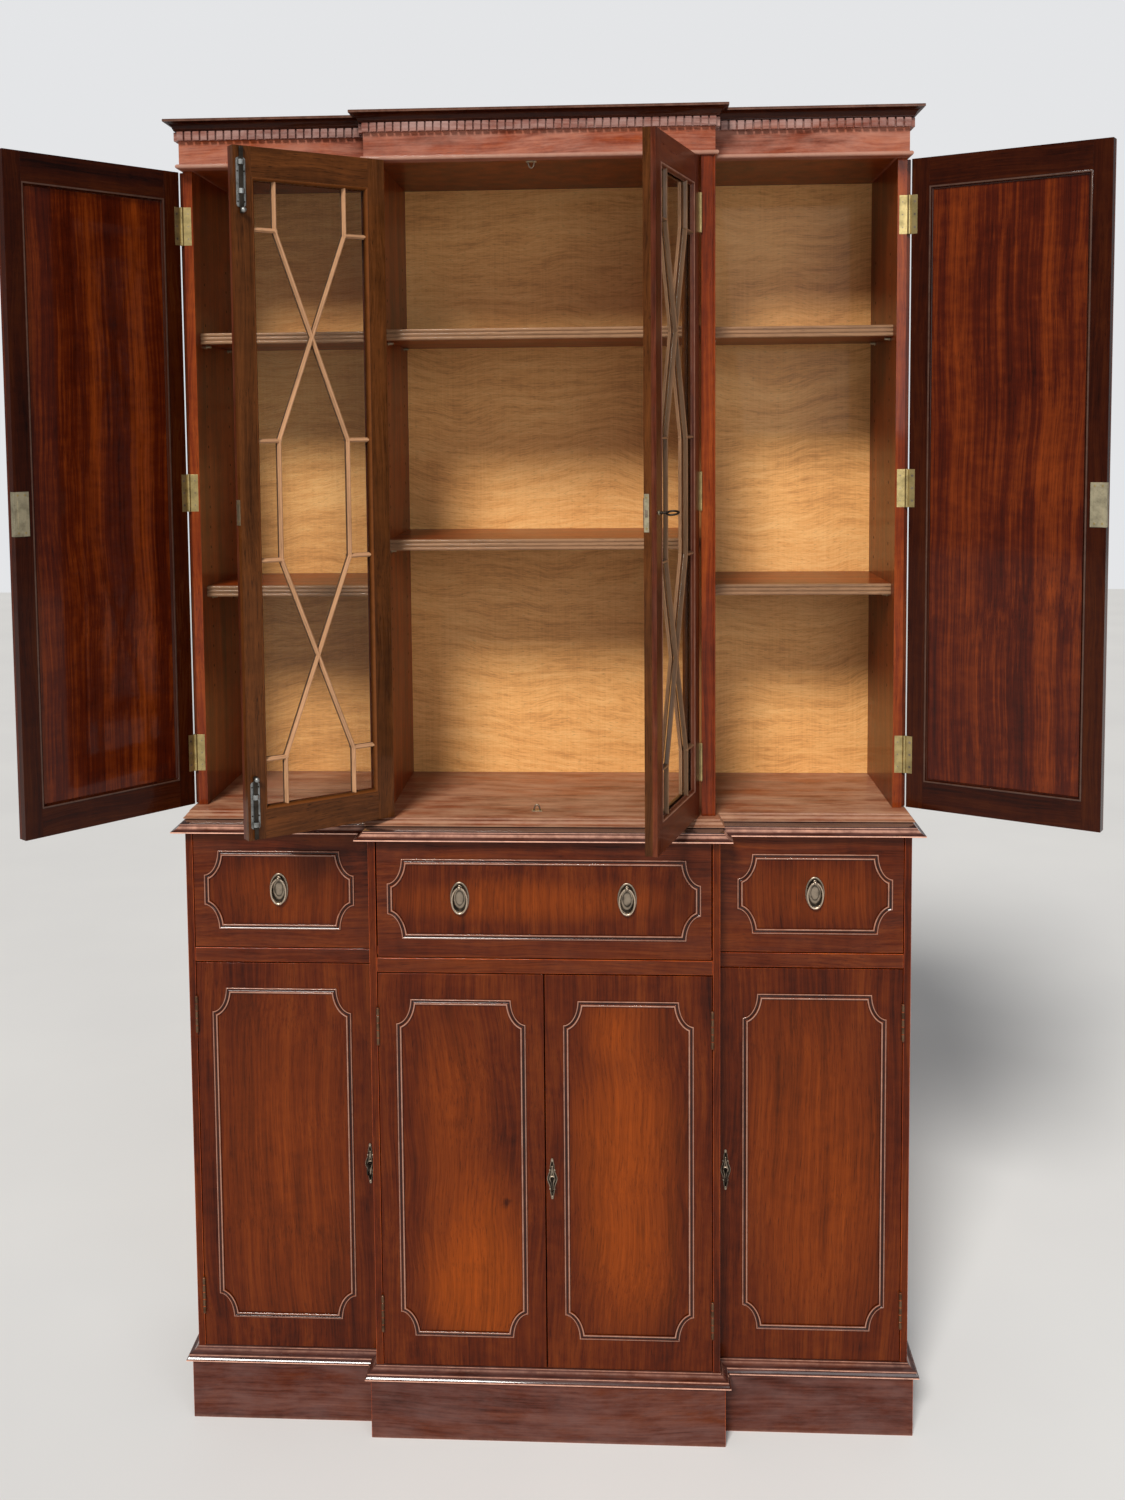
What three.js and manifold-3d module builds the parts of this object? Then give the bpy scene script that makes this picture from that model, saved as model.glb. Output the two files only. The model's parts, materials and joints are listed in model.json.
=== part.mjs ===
// Breakfront secretary bookcase: a bookcase with two panelled and two glazed doors, standing on a
// cabinet with three drawers and four doors. The wide centre drawer is a secretaire with a fall front.
// Millimetres, +Z up, the front faces -Y. The origin is on the floor, below the middle of the side bays.

import * as THREE from 'three';
import { mergeVertices } from 'three/addons/utils/BufferGeometryUtils.js';
import Module from 'manifold-3d';

// Overall form
const totalHeight = 2030;
const baseHalfWidth = 555;
const centreHalfWidth = 265;
const baseDepth = 310;
const breakDepth = 38;
const backThickness = 8;

// Gaps, how far a cutting shape runs past what it cuts, and how near corners are taken as one
const fitGap = 0.3;
const doorGap = 1.5;
const levelGap = 2;
const meetingGap = 1.2;
const overrun = 4;
const weld = 0.001;

// Plinth
const plinthHeight = 96;
const plinthProud = 8;
const plinthBoard = 20;
const bearerWidth = 20;

// Cabinet
const baseFloorThickness = 18;
const capLip = 16;
const capTop = 1;
const baseSideThickness = 18;
const stileWidth = 11;
const doorStop = 7;
const lowerDoorHeight = 620;
const lowerDoorThickness = 20;
const railHeight = 22;
const drawerHeight = 180;
const drawerFront = 18;
const baseTopThickness = 13;
const waistLip = 18;
const waistTop = 5;

// Drawer boxes
const drawerWall = 9;
const drawerBottomThickness = 6;
const drawerRunning = 2;
const drawerBoxDrop = 12;
const drawerEndSpace = 12;
const secretaireFloor = 10;
const nestDepth = 110;
const nestHeight = 140;
const nestBoard = 6;
const pigeonholeCount = 4;

// Fall front: its pivot pins, the arms that carry them, and the bevel that lets its lower edge turn
const fallPinBack = 5.5;
const fallPinRise = 9;
const fallPinRadius = 2;
const fallPinLength = 6;
const fallArmThickness = 1.2;
const fallArmHalf = 6;
const fallBevelDepth = 4.5;
const fallBevelHeight = 7.5;

// Bookcase
const upperInset = 4;
const upperSetback = 50;
const bookcaseFloorThickness = 11;
const floorFrontLip = 30;
const floorSideLip = 12;
const floorFrontTop = 14;
const floorSideTop = 5;
const upperSideThickness = 14;
const pilasterWidth = 21;
const pilasterGrooveWidth = 2;
const pilasterGrooveDepth = 1.5;
const pilasterGrooveEdge = 3;
const upperDoorThickness = 18;
const roofThickness = 16;
const shelfThickness = 17;
const shelfSetback = 25;
const topShelfHeight = 1695;
const sideShelfHeight = 1297;
const centreShelfHeight = 1372;
const reedWidth = 3;
const reedEdge = 3.5;
const reedDepth = 1.5;

// Cornice
const corniceHeight = 72;
const friezeThickness = 18;
const friezeHeight = 56;
const beadHeight = 7;
const beadProud = 5;
const dentilRise = 42;
const dentilHeight = 13;
const dentilGround = 2;
const dentilProud = 7;
const dentilWidth = 9.2;
const dentilSpace = 2.7;
const crownFoot = 6;
const crownProud = 19;

// Upper doors
const upperStile = 27;
const upperRail = 42;
const panelSink = 4;
const glassThickness = 2.5;
const glassEdge = 5;
const glassBack = 8;
const barWidth = 6.5;
const barInset = 1;

// Applied mouldings with scooped corners
const mouldingWidth = 9;
const mouldingProud = 3.5;
const scoopWidth = 22;
const scoopHeight = 38;
const sideDoorMargin = 36;
const centreDoorMargin = 27;
const doorTopMargin = 39;
const doorFootMargin = 47;
const sideDrawerMargin = 28;
const centreDrawerMargin = 15;
const drawerMouldingMargin = 28;
const upperDoorMargin = 27;

// Hinges
const hingeLength = 58;
const hingeEnd = 82;
const sideKnuckle = 2.9;
const faceKnuckle = 2.2;
const knuckleClear = 0.5;
const leafThickness = 1.5;
const leafReach = 5;

// Handles
const plateWidth = 29;
const plateHeight = 50;
const plateThickness = 1.6;
const bailWidth = 26;
const bailHeight = 42;
const bailWire = 1.5;
const bailDrop = 3;
const bailProud = 4;
const bailPlay = 0.5;
const postWidth = 4;
const handleLift = 2;
const centreHandleSpacing = 126;

// Escutcheons and keys
const escutcheonWidth = 15;
const escutcheonHeight = 65;
const escutcheonThickness = 1.5;
const escutcheonEdge = 9;
const keyHeight = 418;
const upperKeyHeight = 1443;
const upperKeyEdge = 13;
const keyShank = 1.6;
const keyHole = 2.3;
const keyShankOut = 12;
const keyShankIn = 14;
const keyBowHeight = 17;
const keyBowLength = 16;
const keyBowWire = 1.6;

// Surface bolts on the left glazed door
const boltEdge = 11;
const boltWidth = 6;
const boltThickness = 3;
const boltPlateWidth = 14;
const boltPlateThickness = 1.2;
const boltPlateStart = 18;
const boltPlateLength = 66;
const boltBridgeHeight = 7;
const boltBridgeWall = 1.6;
const boltBridgeStart = 20;
const boltBridgeSpacing = 40;
const boltKnobDistance = 90;
const boltKnobRadius = 4;
const boltKnobLength = 8;
const boltPlay = 1.3;

// How far each door stands open, in degrees
const sideDoorLeftOpen = 130;
const sideDoorRightOpen = 150;
const glazedDoorLeftOpen = 143;
const glazedDoorRightOpen = 73;
const upperKeyTurn = 75;

// Fineness of round work
const scoopSteps = 5;
const plateSteps = 20;
const bailSteps = 18;
const wireSides = 6;
const knuckleSides = 8;

// Levels, from the floor up
const baseFloorTop = plinthHeight + baseFloorThickness;
const lowerDoorBottom = baseFloorTop + levelGap;
const lowerDoorTop = lowerDoorBottom + lowerDoorHeight;
const railBottom = lowerDoorTop + levelGap;
const railTop = railBottom + railHeight;
const drawerBottom = railTop + levelGap;
const drawerTop = drawerBottom + drawerHeight;
const baseTopBottom = drawerTop + levelGap;
const baseTopTop = baseTopBottom + baseTopThickness;
const upperFloorTop = baseTopTop + bookcaseFloorThickness;
const upperDoorBottom = upperFloorTop + levelGap;
const friezeBottom = totalHeight - corniceHeight;
const upperDoorTop = friezeBottom - levelGap;
const friezeTop = friezeBottom + friezeHeight;
const dentilBottom = friezeBottom + dentilRise;

// Planes, from front to back
const backPlane = baseDepth / 2;
const boardPlane = backPlane - backThickness;
const baseForm = {
  halfWidth: baseHalfWidth,
  centreHalf: centreHalfWidth,
  front: -baseDepth / 2,
  centreFront: -baseDepth / 2 - breakDepth,
  back: backPlane,
};
const upperForm = grownForm(baseForm, -upperInset, -upperSetback);
const plinthForm = grownForm(baseForm, plinthProud, plinthProud);
const carcassFront = upperForm.front + upperDoorThickness + fitGap;
const glazedBack = upperForm.centreFront + upperDoorThickness;
const centreHalfInside = upperForm.centreHalf - pilasterWidth;
const sideInside = upperForm.halfWidth - upperSideThickness;
const stopDepth = lowerDoorThickness + fitGap;
const bayCentre = (baseHalfWidth + centreHalfWidth) / 2;

// Finishes
const finishes = {
  polished: { color: 0x4a1c0e, roughness: 0.28, metalness: 0 },
  panel: { color: 0x6b2a14, roughness: 0.35, metalness: 0 },
  interior: { color: 0xc98a4a, roughness: 0.5, metalness: 0 },
  brass: { color: 0xb08a4a, roughness: 0.35, metalness: 1 },
  iron: { color: 0x2a2420, roughness: 0.45, metalness: 1 },
  glass: { color: 0xdfe8e6, roughness: 0.05, metalness: 0, transparent: true, opacity: 0.3 },
};
const materials = Object.fromEntries(
  Object.entries(finishes).map(([name, look]) => [name, new THREE.MeshStandardMaterial(look)]),
);

const wasm = await Module();
wasm.setup();

// Solids from simple shapes

function boxBetween(low, high) {
  const size = high.map((value, axis) => value - low[axis]);
  const middle = high.map((value, axis) => (value + low[axis]) / 2);
  return new THREE.BoxGeometry(...size).translate(...middle);
}

function shapeOf(points, holes = []) {
  const shape = new THREE.Shape(points.map(([u, v]) => new THREE.Vector2(u, v)));
  shape.holes = holes.map((hole) => new THREE.Path(hole.map(([u, v]) => new THREE.Vector2(u, v))));
  return shape;
}

// An outline seen from above, raised from one height to another
function planSolid(points, bottom, top) {
  const settings = { depth: top - bottom, bevelEnabled: false };
  return new THREE.ExtrudeGeometry(shapeOf(points), settings).translate(0, 0, bottom);
}

// An outline seen from the front, in x and z, carried from a front plane to a back plane
function faceSolid(points, front, back, holes) {
  const settings = { depth: back - front, bevelEnabled: false };
  const solid = new THREE.ExtrudeGeometry(shapeOf(points, holes), settings);
  return solid.rotateX(Math.PI / 2).translate(0, back, 0);
}

// An outline seen from the side, in y and z, carried from a left plane to a right plane
function sideSolid(points, left, right) {
  const settings = { depth: right - left, bevelEnabled: false };
  const turn = new THREE.Matrix4().makeBasis(
    new THREE.Vector3(0, 1, 0),
    new THREE.Vector3(0, 0, 1),
    new THREE.Vector3(1, 0, 0),
  );
  return new THREE.ExtrudeGeometry(shapeOf(points), settings).applyMatrix4(turn).translate(left, 0, 0);
}

function rectangle(left, right, bottom, top) {
  return [[left, bottom], [right, bottom], [right, top], [left, top]];
}

function ellipse(centreX, centreZ, halfWidth, halfHeight, steps) {
  return Array.from({ length: steps }, (_, step) => {
    const angle = (2 * Math.PI * step) / steps;
    return [centreX + halfWidth * Math.cos(angle), centreZ + halfHeight * Math.sin(angle)];
  });
}

// A body from its points and triangles, turned right side out if its volume comes out negative
function bodyFrom(points, triangles) {
  const volume = triangles.reduce((sum, [a, b, c]) => {
    return sum + points[a].dot(points[b].clone().cross(points[c]));
  }, 0);
  const facing = volume < 0 ? triangles.map(([a, b, c]) => [a, c, b]) : triangles;
  const geometry = new THREE.BufferGeometry().setFromPoints(points);
  return geometry.setIndex(facing.flat());
}

// Joins matching outlines one after another into a body closed at both ends. flat is one outline
// as plane points, counterclockwise.
function loft(sections, flat) {
  const count = flat.length;
  const points = sections.flat();
  const triangles = [];
  for (let row = 0; row + 1 < sections.length; row += 1) {
    for (let at = 0; at < count; at += 1) {
      const a = row * count + at;
      const b = row * count + ((at + 1) % count);
      triangles.push([a, b, b + count], [a, b + count, a + count]);
    }
  }
  const last = points.length - count;
  for (const [a, b, c] of THREE.ShapeUtils.triangulateShape(flat, [])) {
    triangles.push([c, b, a], [a + last, b + last, c + last]);
  }
  return bodyFrom(points, triangles);
}

// A closed oval wire ring in the y-z or x-z plane, about its own centre
function ovalRing(halfWidth, halfHeight, wire, steps, sides, across) {
  const points = [];
  const triangles = [];
  for (let step = 0; step < steps; step += 1) {
    const angle = (2 * Math.PI * step) / steps;
    const middle = across.clone().multiplyScalar(halfWidth * Math.cos(angle));
    middle.z += halfHeight * Math.sin(angle);
    const outward = across.clone().multiplyScalar(halfHeight * Math.cos(angle));
    outward.z += halfWidth * Math.sin(angle);
    outward.normalize();
    const level = new THREE.Vector3(0, 0, 1).cross(across);
    for (let side = 0; side < sides; side += 1) {
      const around = (2 * Math.PI * side) / sides;
      const point = middle.clone().addScaledVector(outward, wire * Math.cos(around));
      points.push(point.addScaledVector(level, wire * Math.sin(around)));
      const a = step * sides + side;
      const b = step * sides + ((side + 1) % sides);
      const c = ((step + 1) % steps) * sides + ((side + 1) % sides);
      const d = ((step + 1) % steps) * sides + side;
      triangles.push([a, b, c], [a, c, d]);
    }
  }
  return bodyFrom(points, triangles);
}

function rod(radius, start, end, sides) {
  const along = end.clone().sub(start);
  const geometry = new THREE.CylinderGeometry(radius, radius, along.length(), sides);
  const turn = new THREE.Quaternion().setFromUnitVectors(
    new THREE.Vector3(0, 1, 0),
    along.clone().normalize(),
  );
  const middle = start.clone().add(end).multiplyScalar(1 / 2);
  return geometry.applyQuaternion(turn).translate(middle.x, middle.y, middle.z);
}

// Joins and cuts

function solidOf(geometry) {
  const bare = geometry.clone();
  bare.deleteAttribute('normal');
  bare.deleteAttribute('uv');
  const merged = mergeVertices(bare, weld);
  return new wasm.Manifold(new wasm.Mesh({
    numProp: 3,
    vertProperties: new Float32Array(merged.attributes.position.array),
    triVerts: new Uint32Array(merged.index.array),
  }));
}

function geometryOf(solid) {
  const mesh = solid.getMesh();
  const geometry = new THREE.BufferGeometry();
  geometry.setAttribute('position', new THREE.BufferAttribute(new Float32Array(mesh.vertProperties), 3));
  geometry.setIndex([...mesh.triVerts]);
  return geometry;
}

function joined(...parts) {
  return geometryOf(parts.map(solidOf).reduce((whole, part) => whole.add(part)));
}

function cut(body, ...tools) {
  return geometryOf(tools.map(solidOf).reduce((whole, tool) => whole.subtract(tool), solidOf(body)));
}

// The same body on the other side of the centre line
function mirrored(geometry) {
  const copy = geometry.index ? geometry.toNonIndexed() : geometry.clone();
  copy.deleteAttribute('normal');
  copy.deleteAttribute('uv');
  const places = copy.attributes.position;
  const flipped = [];
  for (let at = 0; at < places.count; at += 3) {
    for (const corner of [at, at + 2, at + 1]) {
      flipped.push(new THREE.Vector3(-places.getX(corner), places.getY(corner), places.getZ(corner)));
    }
  }
  return new THREE.BufferGeometry().setFromPoints(flipped);
}

// The breakfront plan

function grownForm(form, sideOut, frontOut) {
  return {
    halfWidth: form.halfWidth + sideOut,
    centreHalf: form.centreHalf + sideOut,
    front: form.front - frontOut,
    centreFront: form.centreFront - frontOut,
    back: form.back,
  };
}

// Corners from the back left round the front to the back right
function breakfront(form) {
  const { halfWidth, centreHalf, front, centreFront, back } = form;
  return [
    [-halfWidth, back], [-halfWidth, front], [-centreHalf, front], [-centreHalf, centreFront],
    [centreHalf, centreFront], [centreHalf, front], [halfWidth, front], [halfWidth, back],
  ];
}

// Share of the height, and share of the way from the top edge out to the lip
const coveShares = [[0, 1], [0.2, 1], [0.35, 0.72], [0.55, 0.36], [0.8, 0.1], [1, 0]];

// A board whose edge swells from its top out to a lip at its bottom
function mouldedBoard(form, bottom, top, lip, edge) {
  const rings = coveShares.map(([rise, out]) => {
    const side = edge.side + (lip.side - edge.side) * out;
    const front = edge.front + (lip.front - edge.front) * out;
    const height = bottom + (top - bottom) * rise;
    return breakfront(grownForm(form, side, front)).map(([x, y]) => new THREE.Vector3(x, y, height));
  });
  const flat = breakfront(form).map(([x, y]) => new THREE.Vector2(x, y));
  return loft(rings, flat);
}

// A profile of outward distances and heights carried round both sides and the front
function breakfrontBand(form, profile) {
  const outlines = profile.map(([out]) => breakfront(grownForm(form, out, out)));
  const sections = outlines[0].map((_, corner) => {
    return profile.map(([, height], at) => new THREE.Vector3(...outlines[at][corner], height));
  });
  return loft(sections, profile.map(([out, height]) => new THREE.Vector2(out, height)));
}

// Mouldings with scooped corners: straight sides, and a quarter oval bitten out of each corner
function scoopedOutline(left, right, bottom, top, inset) {
  const points = [];
  const first = Math.asin(inset / (scoopWidth + inset));
  const last = Math.acos(inset / (scoopHeight + inset));
  const corners = [[left, bottom, 1, 1], [right, bottom, -1, 1], [right, top, -1, -1], [left, top, 1, -1]];
  corners.forEach(([x, z, towardX, towardZ], corner) => {
    for (let step = 0; step <= scoopSteps; step += 1) {
      const share = corner % 2 === 0 ? step / scoopSteps : 1 - step / scoopSteps;
      const angle = first + (last - first) * share;
      const across = (scoopWidth + inset) * Math.sin(angle);
      const up = (scoopHeight + inset) * Math.cos(angle);
      points.push([x + towardX * across, z + towardZ * up]);
    }
  });
  return points;
}

function scoopedMoulding(left, right, bottom, top, face) {
  const outer = scoopedOutline(left, right, bottom, top, 0);
  const inner = scoopedOutline(left, right, bottom, top, mouldingWidth);
  return faceSolid(outer, face - mouldingProud, face + mouldingProud, [inner]);
}

// A hinge knuckle as long as its hinge, with the leaf that ties it to its door
function knuckle(pin, radius, middle, leafSide) {
  const bottom = middle - hingeLength / 2;
  const top = middle + hingeLength / 2;
  const barrel = rod(
    radius,
    new THREE.Vector3(pin.x, pin.y, bottom),
    new THREE.Vector3(pin.x, pin.y, top),
    knuckleSides,
  );
  const leaf = boxBetween([leafSide.left, leafSide.front, bottom], [leafSide.right, leafSide.back, top]);
  return joined(barrel, leaf);
}

// Plinth and cabinet

function plinth() {
  const inner = grownForm(plinthForm, -plinthBoard, -plinthBoard);
  const hollowBack = backPlane - plinthBoard;
  const bearer = bearerWidth / 2;
  const hollow = [
    [-bearer, hollowBack], [-inner.halfWidth, hollowBack], [-inner.halfWidth, inner.front],
    [-inner.centreHalf, inner.front], [-inner.centreHalf, inner.centreFront], [-bearer, inner.centreFront],
  ];
  const space = planSolid(hollow, -overrun, plinthHeight + overrun);
  return cut(planSolid(breakfront(plinthForm), 0, plinthHeight), space, mirrored(space));
}

function baseFloor() {
  const lip = { side: capLip, front: capLip };
  const edge = { side: capTop, front: capTop };
  return mouldedBoard(baseForm, plinthHeight + fitGap, baseFloorTop, lip, edge);
}

function baseSide() {
  const left = -baseHalfWidth;
  const front = baseForm.front;
  const stopFront = front + stopDepth;
  const plan = [
    [left, front], [left + stileWidth, front], [left + stileWidth, stopFront],
    [left + baseSideThickness, stopFront], [left + baseSideThickness, boardPlane - fitGap],
    [left, boardPlane - fitGap],
  ];
  return planSolid(plan, baseFloorTop + fitGap, baseTopBottom);
}

function basePartition() {
  const outside = -centreHalfWidth;
  const inside = outside + stileWidth;
  const back = boardPlane - fitGap;
  const sideStop = baseForm.front + stopDepth;
  const plan = [
    [outside, baseForm.centreFront], [inside, baseForm.centreFront], [inside, back],
    [outside - doorStop, back], [outside - doorStop, sideStop], [outside, sideStop],
  ];
  return planSolid(plan, baseFloorTop + fitGap, baseTopBottom);
}

function baseBack() {
  return boxBetween(
    [-baseHalfWidth, boardPlane, baseFloorTop + fitGap],
    [baseHalfWidth, backPlane, baseTopBottom],
  );
}

// The left rail with its dust board behind, narrower behind the stops at both its ends
function sideRail() {
  const left = -baseHalfWidth + stileWidth + fitGap;
  const right = -centreHalfWidth - fitGap;
  const step = baseForm.front + stopDepth - fitGap;
  const back = boardPlane - fitGap;
  const plan = [
    [left, baseForm.front], [right, baseForm.front], [right, step], [right - doorStop, step],
    [right - doorStop, back], [left + doorStop, back], [left + doorStop, step], [left, step],
  ];
  return planSolid(plan, railBottom, railTop);
}

// The centre rail and its dust board, from partition to partition
function centreRail() {
  const half = centreHalfWidth - stileWidth - fitGap;
  return boxBetween([-half, baseForm.centreFront, railBottom], [half, boardPlane - fitGap, railTop]);
}

function baseTop() {
  const lip = { side: waistLip, front: waistLip };
  const edge = { side: waistTop, front: waistTop };
  return mouldedBoard(baseForm, baseTopBottom + fitGap, baseTopTop, lip, edge);
}

// Lower doors, hinged at their outer side

function lowerDoor(left, right, face, moulding, keyX) {
  const panel = boxBetween([left, face, lowerDoorBottom], [right, face + lowerDoorThickness, lowerDoorTop]);
  const frame = scoopedMoulding(
    moulding.left,
    moulding.right,
    lowerDoorBottom + doorFootMargin,
    lowerDoorTop - doorTopMargin,
    face,
  );
  const pin = lowerPin(left, face);
  const leaf = { left: left - doorGap / 2, right: left + leafThickness, front: pin.y, back: face + leafReach };
  const places = [lowerDoorBottom + hingeEnd, lowerDoorTop - hingeEnd];
  const knuckles = places.map((place) => knuckle(pin, faceKnuckle, place, leaf));
  const door = joined(panel, frame, ...knuckles);
  return keyX === null ? door : cut(door, keyBore(keyX, keyHeight, face));
}

function lowerPin(left, face) {
  return new THREE.Vector3(left - doorGap / 2, face - faceKnuckle - fitGap, 0);
}

function keyBore(x, height, face) {
  return rod(
    keyHole,
    new THREE.Vector3(x, face - overrun, height),
    new THREE.Vector3(x, face + keyShankIn + overrun, height),
    knuckleSides,
  );
}

// Drawers

// An open box behind a front, from the front's back plane to the back wall
function drawerBox(left, right, front, back, bottom, top, wall, floor) {
  const outside = boxBetween([left, front, bottom], [right, back, top]);
  const inside = boxBetween(
    [left + wall, front + wall, bottom + floor],
    [right - wall, back - wall, top + overrun],
  );
  return cut(outside, inside);
}

function sideDrawer() {
  const left = -baseHalfWidth + stileWidth + doorGap;
  const right = -centreHalfWidth - doorGap;
  const face = baseForm.front;
  const front = boxBetween([left, face, drawerBottom], [right, face + drawerFront, drawerTop]);
  const frame = scoopedMoulding(
    -baseHalfWidth + sideDrawerMargin,
    -centreHalfWidth - sideDrawerMargin,
    drawerBottom + drawerMouldingMargin,
    drawerTop - drawerMouldingMargin,
    face,
  );
  const box = drawerBox(
    -baseHalfWidth + baseSideThickness + drawerRunning,
    -centreHalfWidth - doorStop - drawerRunning,
    face + drawerFront - drawerWall,
    boardPlane - drawerEndSpace,
    railTop + fitGap,
    drawerTop - drawerBoxDrop,
    drawerWall,
    drawerBottomThickness,
  );
  return joined(front, frame, box);
}

// The fall front's pivot, low in its thickness, and the planes of the box behind it
const fallPin = new THREE.Vector3(0, baseForm.centreFront + fallPinBack, drawerBottom + fallPinRise);
const fallHalf = centreHalfWidth - stileWidth - doorGap - fallArmThickness + fitGap;
const fallBack = baseForm.centreFront + drawerFront;
const writingLevel = fallPin.z + drawerFront - fallPinBack;
const secretaireHalf = centreHalfWidth - stileWidth - doorStop - drawerRunning;
const secretaireBack = boardPlane - drawerEndSpace;

function fallFront() {
  const face = baseForm.centreFront;
  const profile = [
    [face, drawerBottom], [fallBack - fallBevelDepth, drawerBottom],
    [fallBack, drawerBottom + fallBevelHeight], [fallBack, drawerTop], [face, drawerTop],
  ];
  const frame = scoopedMoulding(
    -fallHalf + centreDrawerMargin,
    fallHalf - centreDrawerMargin,
    drawerBottom + drawerMouldingMargin,
    drawerTop - drawerMouldingMargin,
    face,
  );
  const sockets = [-1, 1].map((end) => rod(
    fallPinRadius + fitGap,
    new THREE.Vector3(end * (fallHalf - fallPinLength - fitGap), fallPin.y, fallPin.z),
    new THREE.Vector3(end * (fallHalf + overrun), fallPin.y, fallPin.z),
    knuckleSides,
  ));
  return cut(joined(sideSolid(profile, -fallHalf, fallHalf), frame), ...sockets);
}

function secretaireDrawer() {
  const front = fallBack + fitGap;
  const outside = boxBetween(
    [-secretaireHalf, front, railTop + fitGap],
    [secretaireHalf, secretaireBack, drawerTop - drawerBoxDrop],
  );
  const inside = boxBetween(
    [-secretaireHalf + drawerWall, front - overrun, writingLevel],
    [secretaireHalf - drawerWall, secretaireBack - drawerWall, drawerTop + overrun],
  );
  const under = boxBetween(
    [-secretaireHalf + drawerWall, front + drawerWall, railTop - overrun],
    [secretaireHalf - drawerWall, secretaireBack - drawerWall, writingLevel - secretaireFloor],
  );
  const body = cut(outside, inside, under);
  const arm = fallArm(front);
  return joined(body, arm, mirrored(arm));
}

// The left arm: a plate beside the end of the fall front, its foot on the box, and the pivot pin
function fallArm(front) {
  const inner = -fallHalf - fitGap;
  const outer = inner - fallArmThickness;
  const low = fallPin.z - fallArmHalf;
  const high = fallPin.z + fallArmHalf;
  const plate = boxBetween([outer, fallPin.y - fallArmHalf / 2, low], [inner, front + fallArmThickness, high]);
  const foot = boxBetween([outer, front, low], [-secretaireHalf + drawerWall / 2, front + fallArmThickness, high]);
  const pin = rod(
    fallPinRadius,
    new THREE.Vector3((inner + outer) / 2, fallPin.y, fallPin.z),
    new THREE.Vector3(-fallHalf + fallPinLength, fallPin.y, fallPin.z),
    knuckleSides,
  );
  return joined(plate, foot, pin);
}

// A row of pigeonholes, open at the front
function secretaireNest() {
  const half = secretaireHalf - drawerWall - fitGap;
  const back = secretaireBack - drawerWall - fitGap;
  const bottom = writingLevel + fitGap;
  const top = bottom + nestHeight;
  const cell = (2 * half - nestBoard) / pigeonholeCount;
  const holes = Array.from({ length: pigeonholeCount }, (_, at) => {
    const left = -half + nestBoard + at * cell;
    return boxBetween(
      [left, back - nestDepth - overrun, bottom + nestBoard],
      [left + cell - nestBoard, back - nestBoard, top - nestBoard],
    );
  });
  return cut(boxBetween([-half, back - nestDepth, bottom], [half, back, top]), ...holes);
}

// Handles: an oval plate with a post at its top, and an oval bail that hangs through the post

function handlePlate(x, height, face) {
  const back = face - fitGap;
  const front = back - plateThickness;
  const plate = faceSolid(
    ellipse(x, height, plateWidth / 2, plateHeight / 2, plateSteps),
    front,
    back,
  );
  const pivot = bailPivot(x, height, face);
  const around = bailWire + bailPlay;
  const post = boxBetween(
    [x - postWidth / 2, pivot.y - around - bailWire, pivot.z - around - bailWire],
    [x + postWidth / 2, front + plateThickness / 2, pivot.z + around + bailWire],
  );
  const eye = rod(
    around,
    new THREE.Vector3(x - postWidth, pivot.y, pivot.z),
    new THREE.Vector3(x + postWidth, pivot.y, pivot.z),
    plateSteps / 2,
  );
  return cut(joined(plate, post), eye);
}

// The middle of the wire where the bail hangs in its post
function bailPivot(x, height, face) {
  const front = face - fitGap - plateThickness;
  return new THREE.Vector3(x, front - bailProud, height - bailDrop + bailHeight / 2 - bailWire);
}

function bail(pivot) {
  const across = new THREE.Vector3(1, 0, 0);
  const halfWidth = bailWidth / 2 - bailWire;
  const halfHeight = bailHeight / 2 - bailWire;
  const ring = ovalRing(halfWidth, halfHeight, bailWire, bailSteps, wireSides, across);
  return ring.translate(pivot.x, pivot.y, pivot.z - halfHeight);
}

// Escutcheons: shares of half the width and of half the height, round the right side from top to bottom
const escutcheonShares = [
  [0.2, 1], [0.5, 0.86], [0.3, 0.74], [0.85, 0.55], [0.55, 0.32], [1, 0.1],
  [0.9, -0.2], [0.5, -0.38], [0.8, -0.56], [0.35, -0.74], [0.45, -0.88], [0.15, -1],
];

function escutcheon(x, height, face) {
  const place = (side) => ([across, up]) => [
    x + (side * across * escutcheonWidth) / 2,
    height + (up * escutcheonHeight) / 2,
  ];
  const outline = [...escutcheonShares.map(place(1)), ...escutcheonShares.map(place(-1)).reverse()];
  const back = face - fitGap;
  const plate = faceSolid(outline, back - escutcheonThickness, back);
  return cut(plate, keyBore(x, height, face));
}

// A key in its lock: a round shank through the door, and an oval bow that stands out in front
function key(x, height, face) {
  const bowFront = face - keyShankOut;
  const shank = rod(
    keyShank,
    new THREE.Vector3(x, bowFront, height),
    new THREE.Vector3(x, face + keyShankIn, height),
    knuckleSides,
  );
  const halfLength = keyBowLength / 2;
  const across = new THREE.Vector3(0, 1, 0);
  const bow = ovalRing(halfLength, keyBowHeight / 2, keyBowWire, bailSteps, wireSides, across);
  bow.translate(x, bowFront - halfLength + keyBowWire / 2, height);
  return joined(shank, bow);
}

// Bookcase carcass

function bookcaseFloor() {
  const board = mouldedBoard(
    upperForm,
    baseTopTop + fitGap,
    upperFloorTop,
    { side: floorSideLip, front: floorFrontLip },
    { side: floorSideTop, front: floorFrontTop },
  );
  return cut(board, boltHole(baseTopTop - overrun, upperFloorTop + overrun));
}

function bookcaseSide() {
  return boxBetween(
    [-upperForm.halfWidth, carcassFront, upperFloorTop + fitGap],
    [-sideInside, boardPlane - fitGap, friezeBottom - fitGap],
  );
}

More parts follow.
